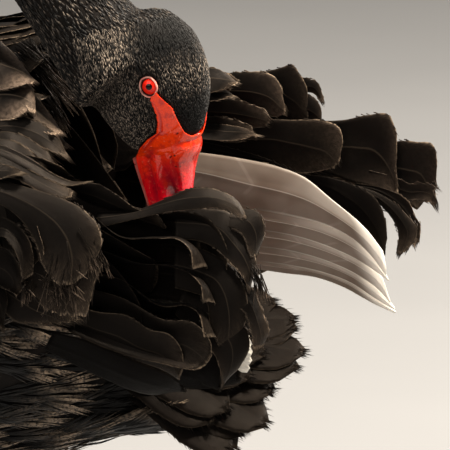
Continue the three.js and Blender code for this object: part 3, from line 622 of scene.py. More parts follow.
def scatter(mesh, spacing, part, rng):
    """Even chance points on one part of the skin, with its normals."""
    mesh.calc_loop_triangles()
    tris = np.empty(len(mesh.loop_triangles) * 3, np.int32)
    mesh.loop_triangles.foreach_get("vertices", tris)
    tris = tris.reshape(-1, 3)
    points, normals = vert_arrays(mesh)
    a, b, c = points[tris[:, 0]], points[tris[:, 1]], points[tris[:, 2]]
    keep = body_part((a + b + c) / 3) == part
    tris, a, b, c = tris[keep], a[keep], b[keep], c[keep]
    area = np.linalg.norm(np.cross(b - a, c - a), axis=1) / 2
    count = int(area.sum() / spacing ** 2 * 7)
    pick = rng.choice(len(tris), count, p=area / area.sum())
    u, v = rng.random(count), rng.random(count)
    flip = u + v > 1
    u[flip], v[flip] = 1 - u[flip], 1 - v[flip]
    w = 1 - u - v
    place = a[pick] * w[:, None] + b[pick] * u[:, None] + c[pick] * v[:, None]
    normal = unit(normals[tris[pick, 0]] * w[:, None] + normals[tris[pick, 1]] * u[:, None]
                  + normals[tris[pick, 2]] * v[:, None])
    chosen = np.ones(count, bool)
    for offset in (0.0, 0.5):
        cell = np.floor(place / spacing + offset).astype(np.int64)
        code = cell[:, 0] * 4000003 + cell[:, 1] * 2003 + cell[:, 2]
        index = np.flatnonzero(chosen)
        _, first = np.unique(code[index], return_index=True)
        kept = np.zeros(count, bool)
        kept[index[first]] = True
        chosen = kept
    return place[chosen], normal[chosen]


# Coat
def tuft_blades(roots, normals, lie, length, width, lift, rng, thick=0.35, part=None):
    """Many slim closed blades of eight faces: root, two sides, ridge, keel and tip."""
    n = len(roots)
    size = length * rng.uniform(0.75, 1.25, n)[:, None]
    turn = rng.normal(0, 0.16, n)[:, None]
    side = np.cross(normals, lie)
    way = unit(lie + side * turn)
    side = np.cross(normals, way)
    half = width / 2 * rng.uniform(0.8, 1.2, n)[:, None]
    rise = lift * rng.uniform(0.7, 1.3, n)[:, None]
    start = roots - normals * 0.8
    middle = roots + way * size * 0.5 + normals * rise * size * 0.62
    tip = roots + way * size + normals * rise * size * 0.55
    verts = np.stack([start, middle - side * half, middle + side * half,
                      middle + normals * thick, middle - normals * thick, tip], 1)
    faces = np.array([[0, 3, 1], [0, 2, 3], [5, 1, 3], [5, 3, 2], [0, 1, 4], [0, 4, 2], [5, 4, 1], [5, 2, 4]])
    chance = rng.random(n)
    along = np.array([0, 0.5, 0.5, 0.55, 0.5, 1.0])
    across = np.array([0, -1, 1, 0, 0, 0.0])
    feather = np.stack([np.broadcast_to(along, (n, 6)), np.broadcast_to(across, (n, 6)),
                        np.repeat(chance[:, None], 6, 1)], -1)
    flat = unwrap(roots, part)
    patch = flat[:, None, :] + np.stack([across * PATCH_WIDE, (along - 0.5) * PATCH_LONG], -1)[None]
    all_faces = faces[None] + np.arange(n)[:, None, None] * 6
    return verts.reshape(-1, 3), all_faces.reshape(-1, 3), feather.reshape(-1, 3), patch.reshape(-1, 2)


def barb_feathers(roots, normals, lie, length, width, lift, rng, barbs=20, part=None):
    """Loose feathers: a slim shaft with thin barbs that fray at the rim, four faces a barb."""
    n = len(roots)
    size = length * rng.uniform(0.8, 1.2, n)[:, None]
    side = np.cross(normals, lie)
    way = unit(lie + side * rng.normal(0, 0.14, n)[:, None])
    side = np.cross(normals, way)
    half = width / 2 * rng.uniform(0.85, 1.15, n)[:, None]
    rise = lift * rng.uniform(0.6, 1.4, n)[:, None]
    chance = rng.random(n)
    flat = unwrap(roots, part)
    verts, feather, patch = [], [], []
    for k in range(barbs):
        hand = 1.0 if k % 2 else -1.0
        t = 0.02 + 0.66 * (k // 2) / max(barbs // 2 - 1, 1)
        reach = rng.uniform(0.8, 1.15, n)[:, None]
        open_share = rng.uniform(0.25, 1.0, n)[:, None]
        spread = half * open_share * (1 - 0.55 * t) * hand
        begin = (roots + way * size * t * 0.8 + side * spread * 0.25
                 + normals * (rise * size * math.sin(t * 2.0) * 0.7))
        end_t = min(t + 0.5, 1.02)
        end = (roots + way * size * end_t * reach ** 0.6 + side * spread
               + normals * (rise * size * math.sin(end_t * 2.0) * 0.62 - np.abs(spread) * 0.2))
        out = unit(end - begin)
        flank = unit(np.cross(normals, out))
        wide = size * 0.02
        middle = begin * 0.55 + end * 0.45
        verts.append(np.stack([begin, middle - flank * wide, middle + flank * wide + normals * 0.22, end], 1))
        feather.append(np.stack([np.stack([np.full(n, t * 0.8), np.zeros(n), chance], -1),
                                 np.stack([np.full(n, (t + end_t) / 2), np.full(n, hand * 0.5), chance], -1),
                                 np.stack([np.full(n, (t + end_t) / 2), np.full(n, hand * 0.5), chance], -1),
                                 np.stack([np.full(n, end_t), np.full(n, hand), chance], -1)], 1))
        local = np.array([[0.0, t - 0.5], [hand * 0.3, t - 0.4], [hand * 0.4, t - 0.4],
                          [hand * 0.5, end_t - 0.5]])
        patch.append(flat[:, None, :] + local[None] * BARB_PATCH)
    verts = np.stack(verts, 1).reshape(-1, 3)
    faces = np.array([[0, 2, 1], [3, 1, 2], [0, 1, 3], [0, 3, 2]])
    every = faces[None] + np.arange(n * barbs)[:, None, None] * 4
    return verts, every.reshape(-1, 3), np.stack(feather, 1).reshape(-1, 3), np.stack(patch, 1).reshape(-1, 2)


# Long feathers
def spline(points, count):
    """Even points along a smooth line through the given ones."""
    points = np.asarray(points, float)
    steps = np.concatenate([[0], np.cumsum(np.linalg.norm(np.diff(points, axis=0), axis=1))])
    table = np.column_stack([steps, points])
    return table_at(table, np.linspace(0, steps[-1], count))


# Width of a blade's root as a share of its widest, and how far its rims trail the shaft
ROOT_WIDTH = 0.4
RIM_LAG = 0.25
# Place of a spike on its feather for the finishes: near the tip and the rim
SPIKE_ALONG = 0.97
SPIKE_ACROSS = 0.9


class Vanes:
    """Gathers long feathers as closed blades with shaft, cupped vane and ragged rim."""

    def __init__(self, seed):
        self.rng = np.random.default_rng(seed)
        self.verts, self.faces, self.feather = [], [], []
        self.total = 0

    def put(self, verts, faces, feather):
        self.verts.append(verts)
        self.faces.append(faces + self.total)
        self.feather.append(feather)
        self.total += len(verts)

    def blade(self, line, face, width, cup=0.15, blunt=0.75, rows=20, columns=11, **shape):
        """One feather along a line, whose upper side looks along face."""
        centre = spline(line, rows)
        t = np.linspace(0, 1, rows)
        run = unit(np.gradient(centre, axis=0))
        up = unit(np.asarray(face, float) - run * (run @ np.asarray(face, float))[:, None])
        side = np.cross(run, up)
        rounding = np.sqrt(np.maximum(1 - (np.maximum(t - blunt, 0) / (1.0 - blunt + 1e-6)) ** 2, 0.0))
        body = ROOT_WIDTH + (1 - ROOT_WIDTH) * np.sin(np.clip(t / 0.55, 0, 1) * np.pi / 2)
        half = width / 2 * body * np.maximum(rounding, 0.12)
        a = np.linspace(-1, 1, columns)
        even = np.clip((t - blunt + 0.1) / 0.3, 0, 1)[:, None]
        back = -RIM_LAG * half[:, None] * np.abs(a)[None] * (1 - even)
        middle = (centre[:, None] + side[:, None] * (a[None] * half[:, None])[..., None]
                  + up[:, None] * (-cup * half[:, None] * a[None] ** 2)[..., None]
                  + run[:, None] * back[..., None])
        self.shell(middle, up, run, blunt=blunt, **shape)

    def outline(self, upper, lower, start, end, cup=0.1, lip=0.0, bulge=2.5, rows=30, columns=17,
                square=3.0, tilt=0.0, **shape):
        """One feather between two edges seen in the picture, hollow or domed towards the view.

        Tilt sets the lower edge further back, so that the feather faces down."""
        high = seen_line(upper, start, end, rows)
        low = seen_line(lower, start + tilt, end + tilt, rows)
        t = np.linspace(0, 1, rows)
        a = np.linspace(-1, 1, columns)
        middle = low[:, None] + (high - low)[:, None] * ((a + 1) / 2)[None, :, None]
        run = unit(np.gradient(middle[:, columns // 2], axis=0))
        across = high - low
        half = np.linalg.norm(across, axis=1) / 2
        up = unit(np.cross(unit(across), run))
        up *= np.where((up @ VIEW_BACK) < 0, -1, 1)[:, None]
        rolled = lip * (np.clip(a, 0, 1)[None] ** 3) * np.clip(t * 2.2 - 0.5, 0, 1)[:, None]
        dome = cup * half[:, None] * (1 - a[None] ** 2) + rolled
        tip = np.clip((t - 0.72) / 0.28, 0, 1)[:, None] ** 2
        corner = (1 - np.abs(a[None]) ** square) * bulge * tip
        middle = middle + up[:, None] * dome[..., None] + run[:, None] * corner[..., None]
        self.shell(middle, up, run, **shape)

    def shell(self, middle, up, run, blunt=0.75, fray=1.0, spikes=26, thick=0.5, tone=None):
        """Gives a blade its thickness, shaft and ragged rim."""
        rng = self.rng
        rows, columns = middle.shape[:2]
        t = np.linspace(0, 1, rows)
        a = np.linspace(-1, 1, columns)
        side = np.cross(run, up)
        teeth = rng.normal(0, 0.45, columns)[None] * fray * np.clip((t - 0.86) / 0.14, 0, 1)[:, None] ** 2
        worn = np.clip((t - 0.3) / 0.5, 0, 1)[:, None] * (np.abs(a) > 0.9)
        ragged = rng.normal(0, 0.16, (rows, columns)) * fray * worn
        middle = middle + run[:, None] * teeth[..., None] + side[:, None] * ragged[..., None]
        depth = thick / 2 * (1 - 0.6 * np.abs(a)[None]) * (1 - 0.5 * t[:, None])
        ridge = 0.4 * np.exp(-(a / 0.1) ** 2)[None] * (1 - t[:, None] * 0.8)
        over = middle + up[:, None] * (depth + ridge)[..., None]
        under = middle - up[:, None] * (depth + ridge * 0.8)[..., None]
        verts = np.concatenate([over.reshape(-1, 3), under.reshape(-1, 3)])
        grid = np.arange(rows * columns).reshape(rows, columns)
        q = np.stack([grid[:-1, :-1], grid[1:, :-1], grid[1:, 1:], grid[:-1, 1:]], -1).reshape(-1, 4)
        low = q[:, ::-1] + rows * columns
        loop = np.concatenate([grid[0, :], grid[1:, -1], grid[-1, -2::-1], grid[-2:0:-1, 0]])
        nxt = np.roll(loop, -1)
        rim = np.stack([loop, nxt, nxt + rows * columns, loop + rows * columns], -1)
        quads = np.concatenate([q, low, rim])
        faces = np.concatenate([quads[:, [0, 1, 2]], quads[:, [0, 2, 3]]])
        volume = np.einsum("ij,ij->", verts[faces[:, 0]], np.cross(verts[faces[:, 1]], verts[faces[:, 2]]))
        if volume < 0:
            faces = faces[:, ::-1]
        # Random unless given; the tables set it per feather as painted light, low in shade and high where
        # lit.
        shade = rng.random() if tone is None else tone
        one = np.stack(np.broadcast_arrays(t[:, None], a[None], shade), -1).reshape(-1, 3)
        self.put(verts, faces, np.concatenate([one, one]))
        if spikes:
            tipward = rng.random(spikes) < 0.62
            column = np.where(tipward, rng.integers(0, columns, spikes),
                              np.where(rng.random(spikes) < 0.5, 0, columns - 1))
            place = rng.uniform(0.45, 0.985, spikes) * (rows - 1)
            i = np.where(tipward, rows - 2, np.minimum(place.astype(int), rows - 2))
            f = np.where(tipward, 0.9, place - np.floor(place))[:, None]
            start = middle[i, column] * (1 - f) + middle[i + 1, column] * f
            hand = np.sign(a[column] + 1e-3)[:, None] * np.abs(a[column])[:, None]
            out = unit(run[i] + side[i] * hand * rng.uniform(0.0, 0.4, spikes)[:, None])
            long = (rng.uniform(0.6, 2.6, spikes) * fray)[:, None]
            wide = np.cross(out, up[i]) * 0.32
            base = start - out * 2.0
            tip = start + out * long + up[i] * rng.uniform(-0.4, 0.4, spikes)[:, None]
            block = np.stack([base - wide, base + wide, base + up[i] * 0.3, tip], 1).reshape(-1, 3)
            tetra = np.array([[0, 1, 2], [0, 3, 1], [1, 3, 2], [2, 3, 0]])
            tfaces = (tetra[None] + np.arange(spikes)[:, None, None] * 4).reshape(-1, 3)
            self.put(block, tfaces, np.tile([SPIKE_ALONG, SPIKE_ACROSS, shade], (spikes * 4, 1)))

    def piece(self, name, material, slot, *nodes):
        piece = mesh_piece(name, np.concatenate(self.verts), np.concatenate(self.faces), material,
                           np.concatenate(self.feather))
        if nodes:
            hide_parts(*nodes)
        return piece


# The photo's view, and places found through it
VIEW_RIGHT = np.array([math.cos(VIEW_AZIMUTH), math.sin(VIEW_AZIMUTH), 0.0])
VIEW_BACK = np.array([math.sin(VIEW_AZIMUTH) * math.cos(VIEW_HEIGHT),
                      -math.cos(VIEW_AZIMUTH) * math.cos(VIEW_HEIGHT), math.sin(VIEW_HEIGHT)])
VIEW_UP = np.cross(VIEW_BACK, VIEW_RIGHT)


def seen(px, py, depth):
    """The place on the upright plane y = depth that the picture shows at a pixel."""
    reach = PICTURE * VIEW_LENS / SENSOR
    way = (-VIEW_BACK + VIEW_RIGHT * (px - PICTURE / 2) / reach + VIEW_UP * (PICTURE / 2 - py) / reach)
    eye = VIEW_TARGET + VIEW_BACK * VIEW_DISTANCE
    return eye + way * (depth - eye[1]) / way[1]


def seen_line(places, start, end, count):
    """A smooth line through places of the picture, given as x, y, x, y, from one depth to another."""
    pairs = np.reshape(places, (-1, 2))
    return spline([seen(px, py, d) for (px, py), d in zip(pairs, np.linspace(start, end, len(pairs)))], count)


# Long feathers of the near wing: picture places along the upper and the lower edge, depth at root and tip
# In each row the setting for browner tips and pale rims is painted light: near 0 for feathers in shade, up to
# 1 for lit ones.
NEAR_FEATHERS = (
    ((88, 290, 140, 312, 182, 330, 210, 348, 222, 366, 223, 384),
     (70, 320, 120, 346, 150, 364, 176, 378, 196, 384, 212, 386), -92, -88,
     dict(tone=0, fray=0.9, tilt=24)),
    ((88, 300, 130, 330, 170, 350, 200, 362, 232, 366, 240, 372),
     (70, 330, 110, 356, 150, 376, 186, 388, 214, 388, 232, 384), -86, -82,
     dict(tone=0, fray=0.9, tilt=20)),
    ((207, 207, 243, 209, 255, 210, 263, 220, 265, 232, 259, 249),
     (207, 228, 233, 228, 242, 234, 246, 242, 248, 251, 251, 258), -84, -82,
     dict(tone=0.95, fray=0.8, cup=0.12)),
    ((202, 253, 237, 270, 253, 290, 263, 314, 269, 332, 264, 343),
     (202, 288, 228, 302, 244, 312, 250, 326, 252, 339, 254, 348), -86, -83,
     dict(tone=0.9, fray=1.8, cup=0.1)),
    ((175, 207, 209, 209, 228, 212, 240, 228, 253, 248, 256, 267, 251, 284),
     (175, 239, 202, 242, 216, 249, 228, 260, 237, 270, 244, 279, 247, 287), -88, -85,
     dict(tone=1, fray=0.9, cup=0.14)),
    ((184, 288, 219, 305, 239, 319, 249, 334, 248, 351, 237, 370, 226, 380),
     (175, 314, 193, 332, 207, 346, 215, 356, 219, 367, 221, 376, 222, 383), -90, -85,
     dict(tone=0.6, fray=1, cup=0.1)),
    ((175, 242, 207, 251, 228, 263, 243, 284, 248, 304, 246, 321, 239, 337),
     (175, 288, 193, 293, 205, 298, 208, 307, 209, 319, 211, 330, 216, 341), -91, -88,
     dict(tone=0.55, fray=0.7, cup=0.16, bulge=5)),
    ((123, 214, 154, 212, 186, 212, 209, 219, 221, 234, 228, 251, 227, 269),
     (123, 242, 154, 239, 179, 242, 193, 251, 200, 262, 205, 270, 213, 277), -94, -92,
     dict(tone=0.35, fray=1.3, cup=0.14, bulge=4)),
    ((98, 212, 140, 209, 167, 198, 193, 188, 221, 191, 239, 202, 243, 210),
     (98, 228, 140, 218, 168, 212, 193, 210, 214, 208, 230, 212, 240, 219), -96, -92,
     dict(tone=0.8, fray=0.9, cup=0.3)),
    ((70, 284, 123, 298, 168, 321, 195, 323, 209, 337, 213, 347),
     (70, 332, 105, 348, 137, 358, 167, 365, 184, 369, 193, 370), -98, -103,
     dict(tone=0.5, fray=0.4, cup=-0.3, lip=4)),
    ((70, 270, 123, 279, 163, 301, 189, 300, 203, 308, 211, 333),
     (70, 312, 114, 321, 149, 325, 174, 328, 193, 335, 207, 342), -99, -104,
     dict(tone=0.3, fray=0.35, cup=-0.32, lip=4.5)),
    ((67, 242, 105, 251, 140, 260, 175, 261, 195, 269, 207, 281, 210, 298),
     (67, 298, 105, 298, 140, 298, 167, 300, 186, 304, 196, 309, 206, 312), -100, -105,
     dict(tone=0.2, fray=0.5, cup=-0.34, lip=5, bulge=2)),
    ((58, 197, 88, 212, 123, 234, 158, 232, 182, 233, 197, 246, 201, 263),
     (58, 253, 91, 260, 123, 265, 149, 270, 172, 270, 188, 270, 199, 272), -101, -106,
     dict(tone=0.25, fray=0.35, cup=-0.36, lip=5.5)),
    ((67, 302, 98, 312, 126, 316, 151, 332, 168, 336, 179, 350, 181, 366),
     (67, 326, 88, 337, 109, 349, 130, 358, 149, 365, 163, 370, 178, 379), -104, -106,
     dict(tone=0.45, tilt=8, fray=0.5, cup=0.22, lip=-2)),
    ((53, 332, 88, 341, 123, 356, 151, 367, 168, 374, 183, 386),
     (44, 349, 79, 367, 109, 381, 133, 391, 154, 395, 179, 390), -98, -97,
     dict(tone=0.02, tilt=22, fray=0.8, cup=0.1)),
    ((21, 228, 58, 235, 98, 253, 126, 281, 140, 305, 142, 332),
     (11, 288, 32, 305, 58, 323, 82, 337, 105, 346, 130, 348), -103, -100,
     dict(tone=0, fray=0.3, cup=-0.14)),
    ((11, 188, 44, 198, 74, 212, 98, 228, 126, 244, 154, 260),
     (11, 253, 42, 263, 70, 276, 98, 288, 126, 297, 151, 293), -106, -103,
     dict(tone=0.05, fray=0.25, cup=-0.2)),
    ((26, 221, 58, 228, 88, 242, 103, 260, 96, 281, 88, 312),
     (0, 228, 11, 246, 23, 267, 29, 288, 35, 298, 46, 309), -112, -113,
     dict(tone=0.8, fray=2.4, cup=0.1, bulge=3)),
    ((11, 274, 32, 288, 58, 302, 74, 312, 82, 319),
     (-11, 302, 4, 312, 16, 321, 26, 323, 39, 323), -109, -108, dict(tone=0.9, fray=2, cup=0.06)),
    ((-11, 177, 26, 187, 58, 197, 84, 210, 99, 228, 102, 244, 93, 263),
     (-11, 200, 5, 207, 19, 218, 31, 234, 38, 251, 42, 265, 51, 277), -116, -121,
     dict(tone=0.65, fray=1.2, cup=0.16, bulge=7)),
    ((-19, 277, -7, 279, 2, 284, 7, 295, 5, 316, 4, 325),
     (-19, 305, -14, 309, -9, 312, -5, 318, -4, 321, 0, 325), -116, -118,
     dict(tone=0.6, fray=1.2, cup=0.1)),
    ((-23, 239, -7, 246, 7, 249, 16, 259, 20, 270, 18, 289),
     (-23, 281, -14, 284, -7, 286, 2, 288, 9, 291, 16, 294), -118, -122,
     dict(tone=0.4, fray=0.5, cup=-0.35, lip=4)),
    ((-23, 205, -5, 214, 12, 223, 23, 235, 28, 253, 26, 274),
     (-23, 242, -9, 239, 4, 237, 12, 246, 18, 258, 22, 279), -119, -124,
     dict(tone=0.45, fray=0.4, cup=-0.3, lip=4)),
    ((35, 174, 70, 183, 98, 184, 116, 194, 137, 209, 158, 215, 164, 223),
     (35, 186, 67, 193, 91, 204, 109, 210, 126, 213, 146, 222, 159, 226), -100, -98,
     dict(tone=0.45, tilt=4, fray=0.6, cup=0.25)),
    ((-11, 149, 11, 159, 26, 168, 47, 179, 63, 186, 72, 191),
     (-11, 169, 5, 176, 21, 181, 35, 189, 47, 197, 57, 201), -108, -110,
     dict(tone=0.9, fray=1.6, cup=0.22)),
    ((-14, 141, 11, 149, 35, 162, 53, 174, 70, 181, 88, 183),
     (-14, 153, 7, 160, 28, 169, 47, 179, 67, 186, 84, 184), -104, -103, dict(tone=1, fray=0.8, cup=0.3)),
    ((-16, 160, -4, 163, 9, 166, 16, 169, 21, 172),
     (-16, 177, -7, 179, 0, 179, 9, 177, 16, 175), -112, -114, dict(tone=1, fray=1.6, cup=0.15)),
    ((-16, 119, 11, 114, 32, 119, 51, 130, 61, 141, 65, 151),
     (-16, 141, 11, 139, 28, 142, 42, 148, 54, 153, 61, 155), -84, -82, dict(tone=1, fray=2.6, cup=0.12)),
    ((-16, 134, 11, 132, 26, 137, 40, 146, 51, 155, 54, 163),
     (-16, 153, 4, 153, 18, 155, 32, 158, 42, 162, 49, 164), -90, -88, dict(tone=1, fray=2.4, cup=0.12)),
    ((-16, 141, 0, 139, 16, 142, 26, 148, 35, 155, 41, 162),
     (-16, 156, -2, 156, 9, 158, 19, 162, 28, 164, 35, 166), -96, -95, dict(tone=1, fray=2.2, cup=0.12)),
)
# Raised scapulars before the back and the dark feathers behind the neck, in the same way
# Here too that setting is painted light, 0 for the feathers in shade.
SCAPULARS = (
    ((-30, 52, 10, 46, 50, 50, 84, 72, 106, 108, 118, 146),
     (-30, 130, 10, 116, 42, 116, 72, 130, 96, 150, 114, 170), 16, 10,
     dict(tone=0, tilt=14, fray=0.3, cup=0.2)),
    ((-30, 66, 10, 62, 44, 68, 74, 96, 92, 128, 104, 168),
     (-30, 150, 8, 142, 34, 142, 60, 152, 84, 170, 100, 190), -2, -12,
     dict(tone=0, tilt=14, fray=0.3, cup=0.2)),
    ((-30, 90, 10, 92, 40, 100, 70, 126, 98, 160, 124, 196),
     (-30, 190, 8, 186, 40, 184, 70, 190, 96, 202, 120, 214), -22, -30,
     dict(tone=0, tilt=14, fray=0.3, cup=0.2)),
    ((40, 196, 80, 196, 120, 204, 160, 212, 196, 220),
     (40, 262, 80, 262, 120, 262, 160, 262, 196, 262), -95, -89, dict(tone=0, fray=0.3, cup=0.1)),
    ((-60, 58, -28, 34, -8, 34, 6, 46, 18, 58, 26, 70, 30, 80),
     (-60, 110, -28, 98, -8, 92, 4, 90, 12, 88, 20, 86, 28, 84), -56, -62,
     dict(tilt=-20, tone=0.95, fray=1.6, cup=0.25)),
    ((-60, 92, -24, 78, 2, 79, 18, 78, 30, 84, 35, 94, 31, 106),
     (-60, 132, -24, 124, -8, 120, 4, 120, 13, 119, 22, 115, 28, 110), -62, -70,
     dict(tilt=-20, tone=1, fray=1.4, cup=0.25, bulge=4)),
    ((-40, 92, 4, 86, 28, 88, 42, 104, 54, 120, 59, 131),
     (-40, 140, 0, 122, 16, 122, 30, 128, 42, 133, 54, 134), -58, -66,
     dict(tilt=-20, tone=1, fray=1.8, cup=0.2)),
    ((-30, 110, 10, 112, 34, 116, 50, 126, 60, 136, 64, 144),
     (-30, 150, 6, 140, 24, 140, 38, 143, 50, 145, 60, 146), -52, -58,
     dict(tilt=-20, tone=0.8, fray=2.2, cup=0.2)),
)
# Loose strands: start and end in the picture, depth, how many, spread at the start and at the end
STRANDS = (
    ((16, 46), (62, 92), -44, 26, 9, 12),
    ((30, 60), (74, 108), -40, 22, 9, 10),
    ((48, 100), (66, 130), -52, 26, 7, 7),
    ((56, 262), (62, 294), -122, 60, 24, 26),
    ((86, 246), (94, 276), -119, 30, 12, 14),
    ((26, 280), (28, 300), -122, 24, 10, 10),
    ((254, 268), (263, 300), -88, 20, 6, 8),
    ((2, 120), (54, 162), -80, 60, 12, 9),
    ((-6, 132), (48, 168), -84, 40, 9, 8),
    ((30, 40), (50, 80), -38, 16, 8, 12),
)
# Black feathers of the far wing, then its white fan, in the same way
# Here too that setting is painted light, 0 for the feathers in shade.
FAR_FEATHERS = (
    ((300, 146, 344, 141, 393, 141, 421, 142, 433, 144, 437, 160, 435, 183),
     (300, 170, 344, 181, 378, 193, 397, 200, 409, 205, 416, 210, 424, 196), 108, 106,
     dict(tone=0.7, fray=1.6, cup=-0.12)),
    ((369, 170, 395, 177, 412, 184, 428, 183, 435, 188, 435, 196),
     (369, 191, 392, 196, 407, 200, 418, 201, 426, 201, 432, 204), 104, 101,
     dict(tone=0.8, fray=2.4, cup=-0.1)),
    ((283, 174, 328, 177, 356, 186, 374, 196, 384, 215, 387, 236, 385, 250),
     (276, 181, 300, 188, 323, 196, 340, 210, 359, 226, 373, 238, 382, 248), 100, 92,
     dict(tone=0.1, fray=0.8, cup=0.12)),
    ((352, 184, 378, 193, 397, 205, 409, 217, 418, 229, 414, 241, 410, 247),
     (345, 188, 368, 196, 385, 210, 395, 224, 399, 238, 397, 248, 397, 253), 99, 94,
     dict(tone=0.5, fray=1.4, cup=0.25)),
    ((356, 183, 383, 188, 400, 195, 411, 205, 415, 215, 420, 224, 420, 234),
     (352, 188, 373, 193, 388, 203, 399, 214, 405, 224, 409, 232, 412, 244), 102, 97,
     dict(tone=0.9, fray=1.2, cup=-0.2)),
    ((276, 122, 314, 121, 344, 120, 369, 115, 387, 115, 394, 127, 396, 146, 394, 170),
     (276, 160, 311, 170, 335, 177, 352, 184, 369, 187, 383, 190, 393, 194, 397, 195), 104, 102,
     dict(tone=0.6, fray=1.1, cup=-0.1, lip=-2)),
    ((197, 84, 232, 76, 263, 72, 283, 67, 292, 64, 300, 74, 307, 88, 307, 107),
     (197, 122, 232, 122, 261, 121, 276, 120, 287, 120, 294, 121, 299, 121, 304, 121), 104, 103,
     dict(tone=0.3, fray=0.5, cup=0.1)),
    ((276, 76, 297, 78, 307, 78, 317, 82, 321, 90, 323, 97),
     (276, 91, 294, 95, 304, 93, 311, 92, 316, 95, 319, 100), 106, 104, dict(tone=0.6, fray=1.2, cup=0.2)),
    ((276, 98, 297, 96, 309, 95, 318, 102, 322, 112, 321, 120),
     (276, 119, 292, 119, 302, 120, 309, 120, 314, 120, 319, 121), 105, 103,
     dict(tone=0.6, fray=0.9, cup=0.2)),
    ((180, 76, 214, 74, 240, 72, 263, 72, 274, 76, 282, 89, 283, 102),
     (180, 107, 214, 107, 240, 110, 257, 114, 270, 116, 276, 117, 282, 114), 99, 97,
     dict(tone=1, fray=1.1, cup=0.12)),
    ((180, 72, 201, 71, 214, 67, 221, 72, 232, 75, 235, 79),
     (180, 95, 201, 96, 213, 97, 223, 96, 229, 92, 232, 84), 96, 94, dict(tone=1, fray=0.8, cup=0.1)),
    ((180, 124, 223, 122, 254, 119, 292, 120, 326, 121, 339, 127, 343, 140, 340, 155),
     (180, 140, 214, 146, 245, 158, 266, 159, 282, 167, 297, 173, 314, 172, 330, 167), 97, 95,
     dict(tone=0.5, fray=1.2, cup=0.06, bulge=2)),
    ((180, 96, 214, 97, 240, 100, 256, 106, 266, 110, 269, 116),
     (180, 126, 211, 126, 232, 127, 247, 127, 256, 128, 263, 126), 94, 92,
     dict(tone=0.7, fray=1.3, cup=0.1)),
    ((180, 115, 206, 116, 228, 118, 242, 122, 252, 127, 254, 134),
     (180, 136, 201, 138, 218, 140, 233, 142, 244, 141, 250, 138), 92, 90,
     dict(tone=0.8, fray=0.9, cup=0.1)),
    ((196, 70, 208, 68, 218, 69, 226, 73, 232, 78, 234, 82),
     (196, 90, 207, 92, 216, 92, 224, 90, 229, 88, 232, 85), 92, 90,
     dict(tone=1, tilt=-14, fray=1.4, cup=0.15)),
    ((196, 84, 208, 84, 218, 86, 225, 89, 229, 92, 231, 95),
     (196, 100, 206, 101, 214, 101, 221, 100, 226, 98, 229, 97), 90, 88,
     dict(tone=1, tilt=-12, fray=1.4, cup=0.15)),
    ((196, 124, 214, 124, 232, 126, 244, 128, 252, 132, 255, 135),
     (196, 138, 212, 140, 228, 141, 240, 140, 248, 138, 253, 136), 88, 86,
     dict(tone=1, tilt=-12, fray=1.8, cup=0.12)),
    ((170, 140, 197, 141, 223, 146, 249, 153, 270, 160, 292, 170),
     (170, 146, 197, 150, 221, 158, 247, 161, 270, 163, 292, 173), 96, 95, dict(tone=0, fray=0.2, cup=0.1)),
)
WHITE_FAN = (
    ((146, 250, 197, 253, 256, 259, 287, 263, 321, 269, 349, 280, 376, 297, 393, 308),
     (146, 257, 197, 263, 256, 269, 283, 273, 318, 278, 345, 288, 374, 304, 394, 313), 58, 53),
    ((146, 222, 197, 227, 256, 243, 290, 248, 328, 258, 359, 274, 383, 293, 393, 305),
     (146, 244, 197, 250, 256, 261, 287, 265, 321, 272, 349, 282, 376, 299, 393, 309), 57, 52),
    ((146, 201, 197, 208, 256, 224, 294, 231, 331, 243, 362, 258, 381, 275, 388, 294),
     (146, 226, 197, 232, 256, 246, 290, 251, 326, 261, 357, 275, 380, 291, 390, 303), 56, 51),
    ((146, 181, 197, 188, 254, 206, 290, 213, 328, 222, 354, 236, 374, 255, 386, 274),
     (146, 205, 197, 212, 256, 229, 294, 236, 331, 248, 359, 261, 378, 273, 388, 281), 55, 50),
    ((146, 146, 196, 152, 244, 159, 276, 166, 304, 177, 330, 198, 368, 231, 383, 251),
     (146, 184, 197, 191, 254, 209, 290, 216, 328, 226, 354, 240, 374, 259, 386, 276), 54, 49),
)

PLUMAGE = {}


